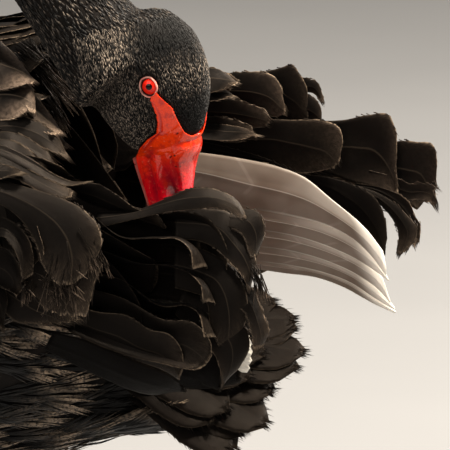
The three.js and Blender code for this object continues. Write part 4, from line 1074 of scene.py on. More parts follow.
def make_finishes(look):
    dark, warm, tan = look.plumage_dark, look.plumage_brown, look.plumage_tan
    orange, red, crimson, pale, pink = (
        look.bill_orange, look.bill_red, look.bill_crimson, look.bill_pale, look.lid_pink)
    PLUMAGE.update(
        skin=skin_finish("down_black", dark, warm),
        # Painted light: a much browner and paler copy of the black vane, for the scapulars and loose strands
        # in the light.
        scapular=feather_finish("scapular_vane", dark, [c * 6.0 for c in warm], [c * 2.6 for c in tan], 1.0),
        head=tuft_finish("head_velvet", dark, warm, [c * 1.1 + 0.1 for c in tan], 1.0),
        # Painted shade: the neck's tufts take dimmer and fewer tan tips than the head's.
        neck=tuft_finish("neck_velvet", dark, warm, [c * 0.8 + 0.06 for c in tan], 0.7),
        body=tuft_finish("body_plumage", dark, warm, [c * 1.2 for c in tan], 1.0),
        vane=feather_finish("black_vane", dark, [c * 0.65 for c in warm], [c * 1.2 for c in tan], 1.0),
        tail=feather_finish("tail_vane", dark, [c * 0.4 for c in warm], [c * 0.7 for c in tan], 0.7),
        far=feather_finish("brown_vane", dark, [c * 1.4 for c in warm], [c * 1.5 for c in tan], 1.0),
        white=white_finish("white_vane", look.flight_white, look.flight_painted_shade),
        bill=horn_finish("bill_red", (orange, red, crimson, pale), 0.36, 0.9, 900.0),
        face=horn_finish("face_red", (orange, orange, crimson, pale), 0.38, 0.8, 1500.0),
        gape=horn_finish("gape_pink", (pink, pink, red, pale), 0.3, 0.3, 1500.0),
        nail=horn_finish("nail_pale", (pale, pink, crimson, pale), 0.25, 0.5, 900.0),
        lid=horn_finish("lid_pink", (pink, pink, red, pale), 0.35, 0.2, 2400.0),
        eye=eye_finish("eye_red", look.eye_red, look.eye_glow),
        leg=scale_finish("leg_scales", look.leg_dark, look.leg_grey, 360.0),
        web=scale_finish("web_creases", look.leg_dark, look.leg_grey, 620.0),
        claw=scale_finish("claw_horn", (0.004, 0.004, 0.004), look.leg_grey, 90.0),
    )


NECKS = ("neck_base", "neck_lower", "neck_upper", "neck_top")
SKIN = {}
COAT_DEPTHS = (0.7, 1.2, 5.0, 4.0, 3.4)
SOCKET_REACH = 10
SOCKET_DEPTH = 5.0
NAPE_DEPTH = 4.5
# Around the eye, in the side view: no tufts and no face skin within these distances
TUFT_CLEAR = 5.9
FACE_CLEAR = 5.5


def make_skin(look):
    """Merges the bodies of flesh into one skin, drawn in by the depth of the coat."""
    grown = [
        grid_piece("core", 40, 36, lambda s, t: wing_point(-1, s, t * RING), None, link=False),
        grid_piece("core", 40, 36, lambda s, t: wing_point(1, s, t * RING), None, link=False),
        grid_piece("core", 36, 36, lambda s, t: saddle_point(s, t * RING), None, link=False),
    ]
    form = flesh_form(("torso", "head", "thigh_left", "thigh_right") + NECKS, grown)
    mesh = bpy.data.meshes.new("skin")
    form.to_mesh(mesh)
    form.free()
    skin = bpy.data.objects.new("skin", mesh)
    bpy.context.scene.collection.objects.link(skin)
    mesh = settle(skin, 0.003, 12)
    points, normals = vert_arrays(mesh)
    part = body_part(points)
    depth = np.choose(part, COAT_DEPTHS)
    socket = np.clip(1 - near_eye(points) / SOCKET_REACH, 0, 1) * (part == HEAD_PART)
    neighbours = np.empty(len(mesh.edges) * 2, np.int32)
    mesh.edges.foreach_get("vertices", neighbours)
    pairs = neighbours.reshape(-1, 2)
    count = np.bincount(neighbours, minlength=len(points))
    for _ in range(12):
        total = (np.bincount(pairs[:, 0], depth[pairs[:, 1]], len(points))
                 + np.bincount(pairs[:, 1], depth[pairs[:, 0]], len(points)))
        depth = total / np.maximum(count, 1)
    depth += SOCKET_DEPTH * socket ** 1.5
    along, up = (points - EYE_CENTRE) @ SKULL, (points - EYE_CENTRE) @ CROWN
    nape = np.exp(-((along + 41) / 14) ** 2) * np.clip((up - 6) / 12, 0, 1) * (part != BODY_PART)
    depth += NAPE_DEPTH * nape
    mesh.vertices.foreach_set("co", to_scene(points - normals * depth[:, None]).astype(np.float32).ravel())
    mesh.update()
    mesh.materials.clear()
    mesh.materials.append(PLUMAGE["skin"])
    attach(skin, "root")
    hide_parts("torso", "head", "mantle", "thigh_left", "thigh_right", *NECKS)
    SKIN["mesh"] = mesh


def near_eye(points):
    """Distance from the middle of the eye, in the side view of the skull."""
    rel = points - EYE_CENTRE
    return np.hypot(rel @ SKULL, rel @ CROWN - EYE_UP)


def on_lore(points):
    """Whether a place on the head is bare red skin."""
    rel = points - EYE_CENTRE
    along, up = rel @ SKULL, rel @ CROWN
    low = np.interp(along, *np.array(LORE_LOW).T)
    high = np.interp(along, *np.array(LORE_HIGH).T)
    return (along > LORE_LOW[0][0]) & (up > low) & (up < high)


def make_coat(look):
    """Lays tufts over head and neck, and loose feathers over trunk and thighs."""
    mesh = SKIN["mesh"]
    rng = np.random.default_rng(11)
    for name, part, spacing, length, width, lift in (
            ("coat_head", HEAD_PART, look.head_spacing, look.head_tuft, 0.5, 0.16),
            ("coat_neck", NECK_PART, look.neck_spacing, look.neck_tuft, 1.2, 0.15)):
        roots, normals = scatter(mesh, spacing, part, rng)
        parts = np.full(len(roots), part)
        if part == HEAD_PART:
            bare = on_lore(roots + normals) | (near_eye(roots) < TUFT_CLEAR)
            roots, normals, parts = roots[~bare], normals[~bare], parts[~bare]
        lie = lie_of(roots, normals, parts)
        size = np.full((len(roots), 1), length)
        if part == HEAD_PART:
            front = ((roots - EYE_CENTRE) @ SKULL)[:, None]
            size = length * np.clip(0.95 - front / 70, 0.45, 1.4)
        else:
            size = length * np.clip(0.3 + np.linalg.norm(roots - EYE_CENTRE, axis=1) / 150, 0.5, 1.0)[:, None]
        verts, faces, feather, patch = tuft_blades(roots, normals, lie, size, width, lift, rng, 0.3, parts)
        if part == HEAD_PART:
            # Painted light on the head tufts: more tan tips on the cheek below the crown and in a band across
            # the eye, fewer on the crown and towards the nape.
            high = (roots - EYE_CENTRE) @ CROWN
            lit = np.maximum(np.clip((12 - high) / 16, 0, 1), 0.7 * np.exp(-((front[:, 0] - 1) / 12) ** 2))
            lit *= np.clip((58 + front[:, 0]) / 26, 0.35, 1)
            feather[:, 2] *= np.repeat(0.25 + 0.75 * lit, 6)
        else:
            # Painted shade on the neck: fewer tan tips further from the head.
            near = np.linalg.norm(roots - EYE_CENTRE, axis=1)
            feather[:, 2] *= np.repeat(np.clip(1.15 - near / 160, 0.5, 1.0), 6)
        piece = mesh_piece(name, verts, faces, PLUMAGE[name[5:]], feather, patch)
    for name, part, spacing, length, width, lift in (
            ("coat_body", BODY_PART, look.body_spacing, look.body_feather, 18.0, 0.14),
            ("coat_thigh", THIGH_PART, 6.0, 13.0, 6.0, 0.12)):
        roots, normals = scatter(mesh, spacing, part, rng)
        parts = np.full(len(roots), part)
        lie = lie_of(roots, normals, parts)
        verts, faces, feather, patch = barb_feathers(roots, normals, lie, length, width, lift, rng, 28, parts)
        piece = mesh_piece(name, verts, faces, PLUMAGE["body"], feather, patch)


# Where the coverts end towards the tail and to the side
COVERTS_END = -60
COVERTS_OUT = 130.0


def back_top(x, lead, y):
    """Top of the saddle at x, or of the trunk at lead where that stands higher."""
    width, middle, rise = table_at(SADDLE, x)[:3]
    arch = math.sqrt(max(1 - (y / (width + 14)) ** 2, 0))
    return max(middle + rise * arch, table_at(TRUNK, lead)[1] - y * y / 160)


def make_coverts(look):
    """Shingles the wings' fronts and the back with broad soft coverts."""
    rng = np.random.default_rng(31)
    roots, normals = scatter(SKIN["mesh"], look.covert_spacing, WING_PART, rng)
    lie = lie_of(roots, normals, np.full(len(roots), WING_PART))
    for name, side in (("coverts_left", -1), ("coverts_right", 1)):
        vanes = Vanes(5 + side)
        for root, normal, way in zip(roots, normals, lie):
            if side * root[1] < 0:
                continue
            long = look.covert_length * vanes.rng.uniform(0.85, 1.15)
            if root[0] + long > COVERTS_END:
                long = max(30.0, COVERTS_END - root[0])
            base = root - normal * 1.5
            line = [base, base + way * long * 0.5 + normal * 5.0, base + way * long + normal * 5.5]
            line = [p if abs(p[1]) < COVERTS_OUT else np.array([p[0], side * COVERTS_OUT, p[2]])
                    for p in line]
            vanes.blade(line, normal, long * 0.52, 0.1, blunt=0.6, rows=8, columns=7, spikes=16, fray=1.2)
        vanes.piece(name, PLUMAGE["vane"], "covert_feathers")
    vanes = Vanes(43)
    for row in range(9):
        x = -452 + row * 36
        for k in range(9):
            y = -62 + k * 15.5 + (row % 2) * 7 + vanes.rng.uniform(-2, 2)
            top = back_top(x, x, y)
            top_ahead = back_top(min(x + 46, -190), x + 46, y)
            line = [(x, y, top - 3), (x + 24, y * 1.01, top + 4), (x + 52, y * 1.02, top_ahead + 4)]
            vanes.blade(line, (0, y / 90, 1), 24, 0.12, blunt=0.6, rows=8, columns=7, spikes=16, fray=1.3)
    vanes.piece("mantle_feathers", PLUMAGE["vane"], "covert_feathers")


def make_near_wing(look):
    """Tertials of the near wing, as the photo shows them, with the white flight feathers inside."""
    vanes = Vanes(3)
    for upper, lower, start, end, shape in NEAR_FEATHERS:
        usual = {"spikes": 60 if shape["tone"] < 0.62 else 150, "tilt": 15.0 if shape["tone"] < 0.4 else -6.0}
        vanes.outline(upper, lower, start, end, **{**usual, **shape})
    vanes.piece("tertials_left", PLUMAGE["vane"], "covert_feathers", "wing_left")
    white = Vanes(13)
    for i in range(7):
        t = i / 6
        root = np.array([-150.0, -82 + t * 4, 306 - 34 * t])
        tip = ((1 - t) ** 2 * np.array([8.0, -73, 234]) + 2 * t * (1 - t) * np.array([18.0, -72, 221])
               + t * t * np.array([13.0, -73, 208]))
        tip[1] += 2.0 * t
        middle = (root + tip) / 2 + np.array([0, 3.0, 16])
        white.blade([root, middle, tip], (0, -1, 0.25), 24, 0.06, blunt=0.72, fray=0.3, tone=t, rows=18,
                    columns=9, spikes=0)
    white.piece("flight_feathers_left", PLUMAGE["white"], "white_feathers", "flight_left")


def make_far_wing(look):
    """Tertials and the spread white fan of the far wing."""
    vanes = Vanes(17)
    for upper, lower, start, end, shape in FAR_FEATHERS:
        vanes.outline(upper, lower, start, end, **{"spikes": 60, **shape})
    for i in range(16):
        t = i / 15
        root = np.array([-176.0 - 20 * t, 104 + 4 * math.sin(t * 3), 318 - 70 * t])
        tip = np.array([50.0 - 60 * abs(t - 0.45) * 2, 112 + 4 * math.sin(t * 5), 312 - 76 * t])
        middle = (root + tip) / 2 + np.array([0, 8.0, 10])
        vanes.blade([root, middle, tip], (0.05, 1, 0.2), 34, 0.14, rows=18, columns=11, spikes=36, fray=1.2)
    vanes.piece("tertials_right", PLUMAGE["far"], "covert_feathers", "wing_right")
    white = Vanes(29)
    for upper, lower, start, end in WHITE_FAN:
        white.outline(upper, lower, start, end, cup=0.08, bulge=1.5, fray=0.2, rows=34, columns=15, spikes=0,
                      square=2.0, tone=0.5)
    white.piece("flight_feathers_right", PLUMAGE["white"], "white_feathers", "flight_right")


def make_back(look):
    """Fluffed back feathers between the wings, which rise behind the neck."""
    vanes = Vanes(53)
    for row in range(6):
        for k in range(9):
            y = -56 + k * 14 + (row % 2) * 7 + vanes.rng.uniform(-3, 3)
            high = 14 * min(max((y + 30) / 40, 0), 1)
            root = np.array([-262.0 + row * 22, y, 334.0])
            tip = np.array([-150.0 + row * 9 + vanes.rng.uniform(-7, 7), y * 1.05,
                            356 + row * 3 + high - 0.004 * y * y + vanes.rng.uniform(-4, 4)])
            middle = (root + tip) / 2 + np.array([-4.0, 0, 10 + high * 0.5])
            vanes.blade([root, middle, tip], (-0.3, y / 90, 1), 28, 0.12, blunt=0.6, rows=12, columns=9,
                        spikes=30, fray=1.6)
    vanes.piece("back_feathers", PLUMAGE["vane"], "covert_feathers")
    near = Vanes(61)
    for upper, lower, start, end, shape in SCAPULARS:
        near.outline(upper, lower, start, end, **{"spikes": 130 if shape["tone"] else 0, **shape})
    for begin, end, depth, count, first, last in STRANDS:
        for _ in range(count):
            here = np.array(begin) + near.rng.normal(0, first / 2, 2)
            here = seen(*here, depth + near.rng.uniform(-5, 5))
            there = np.array(end) + near.rng.normal(0, last / 2, 2)
            there = seen(*there, depth + near.rng.uniform(-6, 2))
            bend = VIEW_UP * near.rng.uniform(0.5, 3.0) + VIEW_BACK * near.rng.uniform(0, 3)
            near.blade([here, (here + there) / 2 + bend, there], VIEW_BACK, near.rng.uniform(0.5, 0.9), 0.1,
                       blunt=0.3, rows=8, columns=3, spikes=0, thick=0.3, fray=0.0,
                       tone=near.rng.uniform(0.2, 1.0))
    near.piece("scapular_feathers", PLUMAGE["scapular"], "covert_feathers")


# Layers of the tail from below: how many, length, lift, width and spread in degrees
TAIL_LAYERS = ((10, 118, 0, 34, 52), (8, 98, 9, 34, 48), (7, 74, 16, 32, 44), (6, 50, 20, 30, 40))
TAIL_TWIST = math.radians(50)


def make_tail(look):
    """Black fan of broad blunt tail feathers with its coverts."""
    vanes = Vanes(37)
    up = np.array([0, -math.sin(TAIL_TWIST), math.cos(TAIL_TWIST)])
    across = np.array([0, math.cos(TAIL_TWIST), math.sin(TAIL_TWIST)])
    root = np.array([-92.0, 0, 212])
    for count, length, lift, width, spread in TAIL_LAYERS:
        for i in range(count):
            turn = math.radians(-11 + spread * (i / (count - 1) - 0.5) + vanes.rng.uniform(-2, 2))
            ray = np.array([math.cos(turn), 0, 0]) + across * math.sin(turn)
            reach = length * (1 - 0.12 * abs(i / (count - 1) - 0.5)) * vanes.rng.uniform(0.9, 1.04)
            step = up * 0.5 * i
            line = [root + ray * 16 + up * (lift * 0.35) + step * 0.4,
                    root + ray * reach * 0.6 + up * (lift + 3) + step * 0.7,
                    root + ray * reach + up * (lift - 6) + step]
            vanes.blade(line, up + across * 0.2, width, 0.16, blunt=0.68, rows=18, columns=13, spikes=110,
                        fray=1.9, tone=0.3)
    count = 90
    side = vanes.rng.uniform(-1, 1, count)
    back = vanes.rng.random(count)
    roots = np.stack([-138.0 + 84 * back, side * (36 - 14 * back), 150 + 12 * back + 6 * side ** 2], -1)
    normals = unit(np.stack([np.full(count, 0.25), side * 0.8, np.full(count, -1.0)], -1))
    lie = np.tile([1.0, 0.0, 0.24], (count, 1))
    lie = unit(lie - normals * (lie * normals).sum(1, keepdims=True))
    parts = np.full(count, BODY_PART)
    verts, faces, feather, patch = barb_feathers(roots, normals, lie, 46.0, 24.0, 0.1, vanes.rng, 40, parts)
    mesh_piece("undertail_feathers", verts, faces, PLUMAGE["body"], feather, patch)
    vanes.piece("tail_feathers", PLUMAGE["tail"], "covert_feathers", "tail")


# Height of the face skin over the head, then the lid's ring: thickness, radius and distance out
FACE_OUT = 0.35
LID_THICK = 0.5
LID_RADIUS = 5.35
LID_OUT = 3.7


def make_face(look):
    """Bare red skin from the bill to the eyes, the lids and the eyes."""

    skin = grid_piece("face_skin", 210, 380, lambda s, t: head_point(0.5 + s * 0.49, t * RING, FACE_OUT),
                      PLUMAGE["face"], closed=False)
    mesh = skin.data
    form = bmesh.new()
    form.from_mesh(mesh)
    bmesh.ops.remove_doubles(form, verts=form.verts[:], dist=MERGE)
    centres = np.array([face.calc_center_median()[:] for face in form.faces])
    bare = on_lore((centres - SHIFT) / MM)
    along = ((centres - SHIFT) / MM - EYE_CENTRE) @ SKULL
    clear = near_eye((centres - SHIFT) / MM) > FACE_CLEAR
    drop = [face for face, keep in zip(form.faces, bare & clear & (along > 1.0)) if not keep]
    bmesh.ops.delete(form, geom=drop, context="FACES")
    layer = form.verts.layers.float_vector.new("feather")
    for vert in form.verts:
        rel = (np.array(vert.co) - SHIFT) / MM - EYE_CENTRE
        along, up = float(rel @ SKULL), float(rel @ CROWN)
        low, high = (np.interp(along, *np.array(edge).T) for edge in (LORE_LOW, LORE_HIGH))
        share = (up - low) / max(high - low, 1.0)
        # A dent along the lower edge of the face skin, which the finish fills with painted shade
        fold = 0.8 * math.exp(-((share - 0.2) / 0.07) ** 2) * min(max((along - 5) / 10, 0), 1)
        out = Vector(to_scene(rel) - to_scene(rel * 0.0)).normalized()
        vert.co += out * (0.0004 * math.exp(-((share - 0.07) / 0.05) ** 2) - 0.0003 * fold)
        vert[layer] = Vector((along / 100, share, fold))
    bmesh.ops.recalc_face_normals(form, faces=form.faces[:])
    bmesh.ops.solidify(form, geom=form.faces[:], thickness=0.0006)
    bmesh.ops.recalc_face_normals(form, faces=form.faces[:])
    form.to_mesh(mesh)
    form.free()
    for hand, side in ((-1, "left"), (1, "right")):
        centre = EYE_CENTRE + EYE_UP * CROWN + hand * EYE_OUT * SIDE
        gaze = unit(np.array([VIEW_BACK @ SKULL, VIEW_BACK @ CROWN, abs(VIEW_BACK @ SIDE)]) * (0.5, 0.5, 1.0))
        eye = bmesh.new()
        bmesh.ops.create_uvsphere(eye, u_segments=40, v_segments=28, radius=1.0)
        layer = eye.verts.layers.float_vector.new("feather")
        for vert in eye.verts:
            x, y, z = vert.co
            facing = float(np.dot((x, y, z), gaze))
            radius = math.sqrt(max(1 - facing * facing, 0)) if facing > 0 else 1.0
            vert[layer] = Vector((radius, math.atan2(y - gaze[1], x - gaze[0]) / math.pi, 0.5))
            bulge = 1.0 + 0.06 * max(facing - 0.75, 0) / 0.25
            place = centre + (SKULL * x + CROWN * y + hand * SIDE * z * bulge) * EYE_RADIUS
            vert.co = to_scene(place)
        bmesh.ops.recalc_face_normals(eye, faces=eye.faces[:])
        finish_form(eye, "eye_ball_" + side, PLUMAGE["eye"], "eye", "eye_" + side)
        lid = bmesh.new()
        bmesh.ops.create_circle(lid, segments=14, radius=LID_THICK * MM)
        out = Vector(SIDE * hand)
        middle = Vector(to_scene(centre + hand * SIDE * LID_OUT))
        for vert in lid.verts:
            x, y, _ = vert.co
            vert.co = middle + Vector(CROWN) * (LID_RADIUS * MM + x) + out * y * 1.3
        bmesh.ops.spin(lid, geom=lid.verts[:] + lid.edges[:], cent=middle, axis=out, angle=2 * math.pi,
                       steps=64, use_merge=True)
        bmesh.ops.recalc_face_normals(lid, faces=lid.faces[:])
        for vert in lid.verts:
            rel = Vector(vert.co) - middle
            turn = math.atan2(rel.dot(Vector(CROWN)), rel.dot(Vector(SKULL)))
            vert.co += out * (0.0001 * math.sin(turn * 9))
            vert.co += rel.normalized() * (0.00012 * math.sin(turn * 5 + 1))
        finish_form(lid, "lid_" + side, PLUMAGE["lid"], "bill")


def finish_form(form, name, material, slot, *nodes):
    """A linked piece from a bmesh, with its slot and the nodes it stands for."""
    piece = form_piece(form, name, material)
    if nodes:
        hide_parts(*nodes)
    return piece


# Bill along its axis: start behind the face, reach and tip, and half the gap of the mouth
BILL_START = -5
BILL_REACH = 78
BILL_TIP = 74.2
MOUTH_GAP = 0.25


def bell(offset, width):
    return np.exp(-(offset / width) ** 2)


def bill_form(s, turn, upper):
    """Surface of the upper or lower bill, with its folds, and the height over the mouth."""
    along = BILL_START + s * BILL_REACH
    v = table_at(BILL, along)
    end = np.sqrt(np.clip((BILL_TIP - along) / 6, 0.02, 1))
    middle, deep = (v[..., 0] - v[..., 1]) / 2, (v[..., 0] + v[..., 1]) / 2
    c, w = np.cos(turn), np.sin(turn)
    square = (np.abs(c) ** 3 + np.abs(w) ** 3) ** (-1 / 3)
    round_share = np.clip((along - 30) / 30, 0, 1) * 0.5
    shape = 1 + (square - 1) * (0.35 + round_share)
    up = middle + deep * w * shape * end * (1 - 0.1 * np.clip((9 - along) / 11, 0, 1) * (w > 0))
    out = v[..., 2] * c * shape * (0.55 + 0.45 * end)
    mouth = MOUTH_START + MOUTH_SLOPE * along
    height = (up - mouth) / np.maximum(v[..., 0] - mouth, 1)
    if upper:
        trough = bell(up - 3.2 - 0.03 * along, 2.6) * bell(along - 27, 15)
        fold = bell(up + 6 - 0.05 * along, 1.8) * bell(along - 24, 20)
        ridge = bell(up + 1.5 - 0.05 * along, 1.5) * bell(along - 26, 18)
        beside = bell(up - 7.6 + 0.02 * along, 1.3) * bell(along - 18, 14)
        out = out - np.sign(c) * (2.6 * trough + 1.6 * fold - 0.9 * ridge + 1.8 * beside)
        slot = np.exp(-(((up - 4.2) / 1.5) ** 2 + ((along - 29) / 4.5) ** 2))
        out = out - np.sign(c) * 2.6 * slot
        up = np.maximum(up, mouth + MOUTH_GAP)
        lip = bell(up - mouth - 0.8, 0.8)
        out = out + np.sign(c) * 0.45 * lip * (np.abs(c) > 0.2)
    else:
        up = np.minimum(up, mouth - MOUTH_GAP)
        out = out * 0.93
    # Creases of the upper bill, which the finish fills with painted shade
    fold = trough * 1.3 + fold * 0.9 + beside * 0.5 if upper else height * 0
    rel = bill_frame(along, up, out) - EYE_CENTRE
    reach, rise = rel @ SKULL, rel @ CROWN
    low = np.interp(reach, *np.array(LORE_LOW).T)
    high = np.interp(reach, *np.array(LORE_HIGH).T)
    outside = np.maximum(low - rise, rise - high)
    hidden = np.clip(outside / 3 + 0.3, 0, 1) * np.clip((37.5 - reach) / 2.5, 0, 1)
    up = middle + (up - middle) * (1 - 0.2 * hidden)
    out = out * (1 - 0.2 * hidden)
    return bill_frame(along, up, out), np.stack([height, fold], -1), along


def make_bill(look):
    """Upper and lower bill with ridges, nostrils and mouth line, and the pale nail."""
    for name, upper, material, node in (("bill_top", True, "bill", "bill_upper"),
                                        ("bill_under", False, "gape", "bill_lower")):
        form = bmesh.new()
        bmesh.ops.create_grid(form, x_segments=110, y_segments=140, size=0.5)
        layer = form.verts.layers.float_vector.new("feather")
        s = np.array([v.co.x + 0.5 for v in form.verts])
        t = np.array([v.co.y + 0.5 for v in form.verts])
        places, height, along = bill_form(s, t * RING, upper)
        tags = np.column_stack([(along + 30) / 100, height])
        for vert, co, tag in zip(form.verts, to_scene(places), tags):
            vert.co = co
            vert[layer] = Vector(map(float, tag))
        close_seams(form)
        finish_form(form, name, PLUMAGE[material], "bill", node)

    def nail(s, t):
        along = 63.5 + s * 10.6
        turn = np.pi * (0.5 + (t - 0.5) * 0.62)
        v = table_at(BILL, along)
        base, _, _ = bill_form((along + 5) / 78, turn, True)
        return base + BILL_TOP * (0.45 * np.sin(np.pi * np.clip(s, 0.02, 1)) ** 0.5)[..., None]

    piece = grid_piece("nail", 26, 24, nail, PLUMAGE["nail"], closed=False)
    solid = piece.modifiers.new("Depth", "SOLIDIFY")
    solid.thickness = 0.0012
    solid.offset = 0.0
    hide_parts("bill_nail")


def dress(node, name, material, voxel, rounds):
    form = flesh_form((node,), [])
    mesh = bpy.data.meshes.new(name)
    form.to_mesh(mesh)
    form.free()
    piece = bpy.data.objects.new(name, mesh)
    bpy.context.scene.collection.objects.link(piece)
    mesh = settle(piece, voxel, rounds)
    mesh.materials.clear()
    mesh.materials.append(PLUMAGE[material])
    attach(piece, "root")
    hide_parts(node)
    return piece


def make_legs(look):
    """Scaled shanks, webbed feet and claws."""
    for side in ("left", "right"):
        dress("shank_" + side, "shank_skin_" + side, "leg", 0.0009, 6)
        dress("foot_" + side, "foot_skin_" + side, "web", 0.0009, 4)
        for i in (1, 2, 3):
            dress("claw_%s_%d" % (side, i), "claw_horn_%s_%d" % (side, i), "claw", 0.0004, 3)


def make_stage(look):
    """Pale floor, soft studio light with a warm key from behind the right, and the camera."""
    form = bmesh.new()
    bmesh.ops.create_grid(form, x_segments=2, y_segments=2, size=12.0)
    floor_mesh = bpy.data.meshes.new("floor")
    form.to_mesh(floor_mesh)
    form.free()
    floor = bpy.data.objects.new("floor", floor_mesh)
    floor.location.z = -0.0005
    bpy.context.scene.collection.objects.link(floor)
    finish = Finish("pale_floor")
    cloud = finish.noise(3.0)
    floor_mesh.materials.append(finish.done(
        finish.mix(cloud, (0.235, 0.24, 0.25, 1), (0.26, 0.265, 0.275, 1)),
        finish.math("ADD", finish.math("MULTIPLY", cloud, 0.1), 0.7), cloud, 0.05, 0.001))
    world = bpy.data.worlds.new("studio")
    world.use_nodes = True
    world.node_tree.nodes["Background"].inputs[0].default_value = (0.86, 0.86, 0.85, 1)
    world.node_tree.nodes["Background"].inputs[1].default_value = look.fill_light
    bpy.context.scene.world = world
    target = Vector(to_scene(VIEW_TARGET))
    for name, place, power, size, colour in (
            ("key", (1.3, -0.2, 3.0), look.key_light, 0.5, (1.0, 0.9, 0.76)),
            ("rear", (1.6, 2.0, 1.6), look.key_light * 0.5, 1.0, (1.0, 0.9, 0.78)),
            ("front", (-1.4, -2.6, 2.2), look.front_light, 3.2, (1.0, 0.94, 0.86))):
        lamp = bpy.data.lights.new(name, "AREA")
        lamp.energy = power
        lamp.size = size
        lamp.color = colour
        obj = bpy.data.objects.new(name, lamp)
        obj.location = target + Vector(place)
        obj.rotation_euler = (target - obj.location).to_track_quat("-Z", "Y").to_euler()
        bpy.context.scene.collection.objects.link(obj)
    data = bpy.data.cameras.new("view")
    data.lens = VIEW_LENS
    data.sensor_width = SENSOR
    data.clip_end = 60
    camera = bpy.data.objects.new("view", data)
    camera.location = to_scene(VIEW_TARGET + VIEW_BACK * VIEW_DISTANCE)
    camera.rotation_euler = Vector(-VIEW_BACK).to_track_quat("-Z", "Y").to_euler()
    bpy.context.scene.collection.objects.link(camera)
    bpy.context.scene.camera = camera
    bpy.context.scene.view_settings.view_transform = "Standard"


# Settings, operators and panel
def colour_setting(name, description, default):
    return bpy.props.FloatVectorProperty(name=name, description=description, default=default, size=3,
                                         subtype="COLOR", min=0, max=1)


def size_setting(name, description, default, least):
    return bpy.props.FloatProperty(name=name, description="Millimetres " + description, default=default,
                                   min=least)


def lamp_setting(name, description, default):
    return bpy.props.FloatProperty(name=name, description=description, default=default, min=0, unit="POWER")


class SWAN_PG_look(bpy.types.PropertyGroup):
    """Sizes in millimetres, colours and lamps of the swan."""
    head_spacing: size_setting("Head tuft spacing", "between tufts on the head", 0.64, 0.5)
    head_tuft: size_setting("Head tuft length", "of a tuft on the head", 3.5, 1)
    neck_spacing: size_setting("Neck tuft spacing", "between tufts on the neck", 1.85, 1.5)
    neck_tuft: size_setting("Neck tuft length", "of a tuft on the neck", 8.5, 2)
    body_spacing: size_setting("Body feather spacing", "between feathers on the trunk", 12.5, 6)
    body_feather: size_setting("Body feather length", "of a feather on the trunk", 34.0, 8)
    covert_spacing: size_setting("Covert spacing", "between coverts on the wing", 19.0, 10)
    covert_length: size_setting("Covert length", "of a covert on the wing", 62.0, 20)
    plumage_dark: colour_setting("Plumage dark", "Black of the plumage", (0.002, 0.0017, 0.0016))
    # Brown of the vane tips, partly the plumage's own and partly painted light
    plumage_brown: colour_setting("Plumage brown", "Brown bloom on the plumage", (0.034, 0.0245, 0.0185))
    # Tan of rims and tips: partly wear, partly painted highlights and painted light
    plumage_tan: colour_setting("Plumage tan", "Worn rims and tips", (0.30, 0.225, 0.16))
    flight_white: colour_setting("Flight white", "White of the flight feathers", (0.88, 0.84, 0.76))
    # Painted shade on the pale flight feathers, mauve grey
    flight_painted_shade: colour_setting("Flight shade", "Mauve shade of the flight feathers", (0.15, 0.112, 0.085))
    bill_orange: colour_setting("Bill orange", "Root of the bill and bare face", (0.95, 0.042, 0.0))
    bill_red: colour_setting("Bill red", "Middle of the bill", (0.86, 0.0, 0.012))
    # Deep crimson, for mottles and as painted shade in the folds
    bill_crimson: colour_setting("Bill crimson", "Deep folds of the bill", (0.30, 0.0, 0.012))
    # Pale of the nail, and of spots that stand partly for wear and partly for painted highlights
    bill_pale: colour_setting("Bill pale", "Worn spots and nail of the bill", (0.95, 0.30, 0.17))
    lid_pink: colour_setting("Lid pink", "Rim of the eye and gape", (0.72, 0.36, 0.30))
    eye_red: colour_setting("Eye red", "Iris", (0.70, 0.006, 0.004))
    eye_glow: colour_setting("Eye glow", "Rays of the iris", (0.85, 0.03, 0.01))
    leg_dark: colour_setting("Leg dark", "Creases of the legs", (0.008, 0.008, 0.009))
    leg_grey: colour_setting("Leg grey", "Scales of the legs", (0.055, 0.053, 0.052))
    key_light: lamp_setting("Key light", "Warm light from above the right", 320.0)
    front_light: lamp_setting("Front light", "Soft light from the front", 80.0)
    fill_light: bpy.props.FloatProperty(
        name="Fill light", description="Strength of the pale room light", default=0.13, min=0)


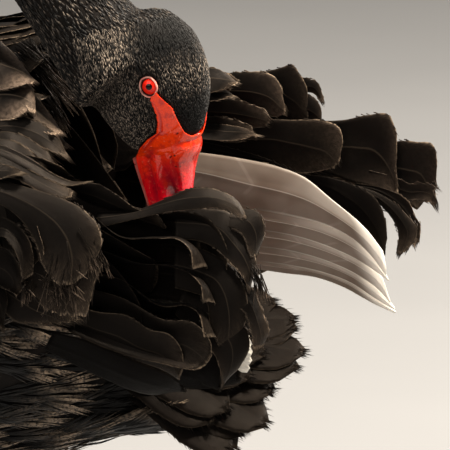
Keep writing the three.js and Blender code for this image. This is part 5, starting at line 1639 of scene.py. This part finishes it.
class MakePiece:
    """Shared running of one group of pieces."""
    bl_options = {"REGISTER", "UNDO"}

    def execute(self, context):
        type(self).make(context.scene.swan_look)
        return {"FINISHED"}


def operator(idname, label, text, make):
    name = "SWAN_OT_" + idname
    return type(name, (MakePiece, bpy.types.Operator), {
        "bl_idname": "swan." + idname, "bl_label": label, "__doc__": text, "make": staticmethod(make)})


STEPS = (
    operator("finishes", "Finishes", "Makes the materials of feathers, horn, skin and eyes", make_finishes),
    operator("skin", "Skin", "Merges the bodies of flesh into one skin", make_skin),
    operator("coat", "Coat", "Lays the small feathers of head, neck, trunk and thighs", make_coat),
    operator("coverts", "Coverts", "Shingles wings and back with coverts", make_coverts),
    operator("back", "Back", "Fluffed feathers of the back behind the neck", make_back),
    operator("near_wing", "Near wing", "Long feathers of the near wing", make_near_wing),
    operator("far_wing", "Far wing", "Long feathers of the far wing", make_far_wing),
    operator("tail", "Tail", "Fans the tail feathers", make_tail),
    operator("face", "Face", "Bare face skin, lids and eyes", make_face),
    operator("bill", "Bill", "Bill with ridges, nostrils and nail", make_bill),
    operator("legs", "Legs", "Shanks, webbed feet and claws", make_legs),
    operator("stage", "Stage", "Floor, lights and camera", make_stage),
)


class SWAN_PT_panel(bpy.types.Panel):
    """Lists the steps that build the swan."""
    bl_label = "Preening Swan"
    bl_space_type = "VIEW_3D"
    bl_region_type = "UI"
    bl_category = "Swan"

    def draw(self, context):
        column = self.layout.column()
        for key in SWAN_PG_look.__annotations__:
            column.prop(context.scene.swan_look, key)
        for step in STEPS:
            column.operator(step.bl_idname)


def register():
    for item in (SWAN_PG_look, *STEPS, SWAN_PT_panel):
        bpy.utils.register_class(item)
    bpy.types.Scene.swan_look = bpy.props.PointerProperty(type=SWAN_PG_look)


def unregister():
    del bpy.types.Scene.swan_look
    for item in reversed((SWAN_PG_look, *STEPS, SWAN_PT_panel)):
        bpy.utils.unregister_class(item)


def main():
    register()
    for step in STEPS:
        getattr(bpy.ops.swan, step.bl_idname.split(".")[1])()


if __name__ == "__main__":
    main()
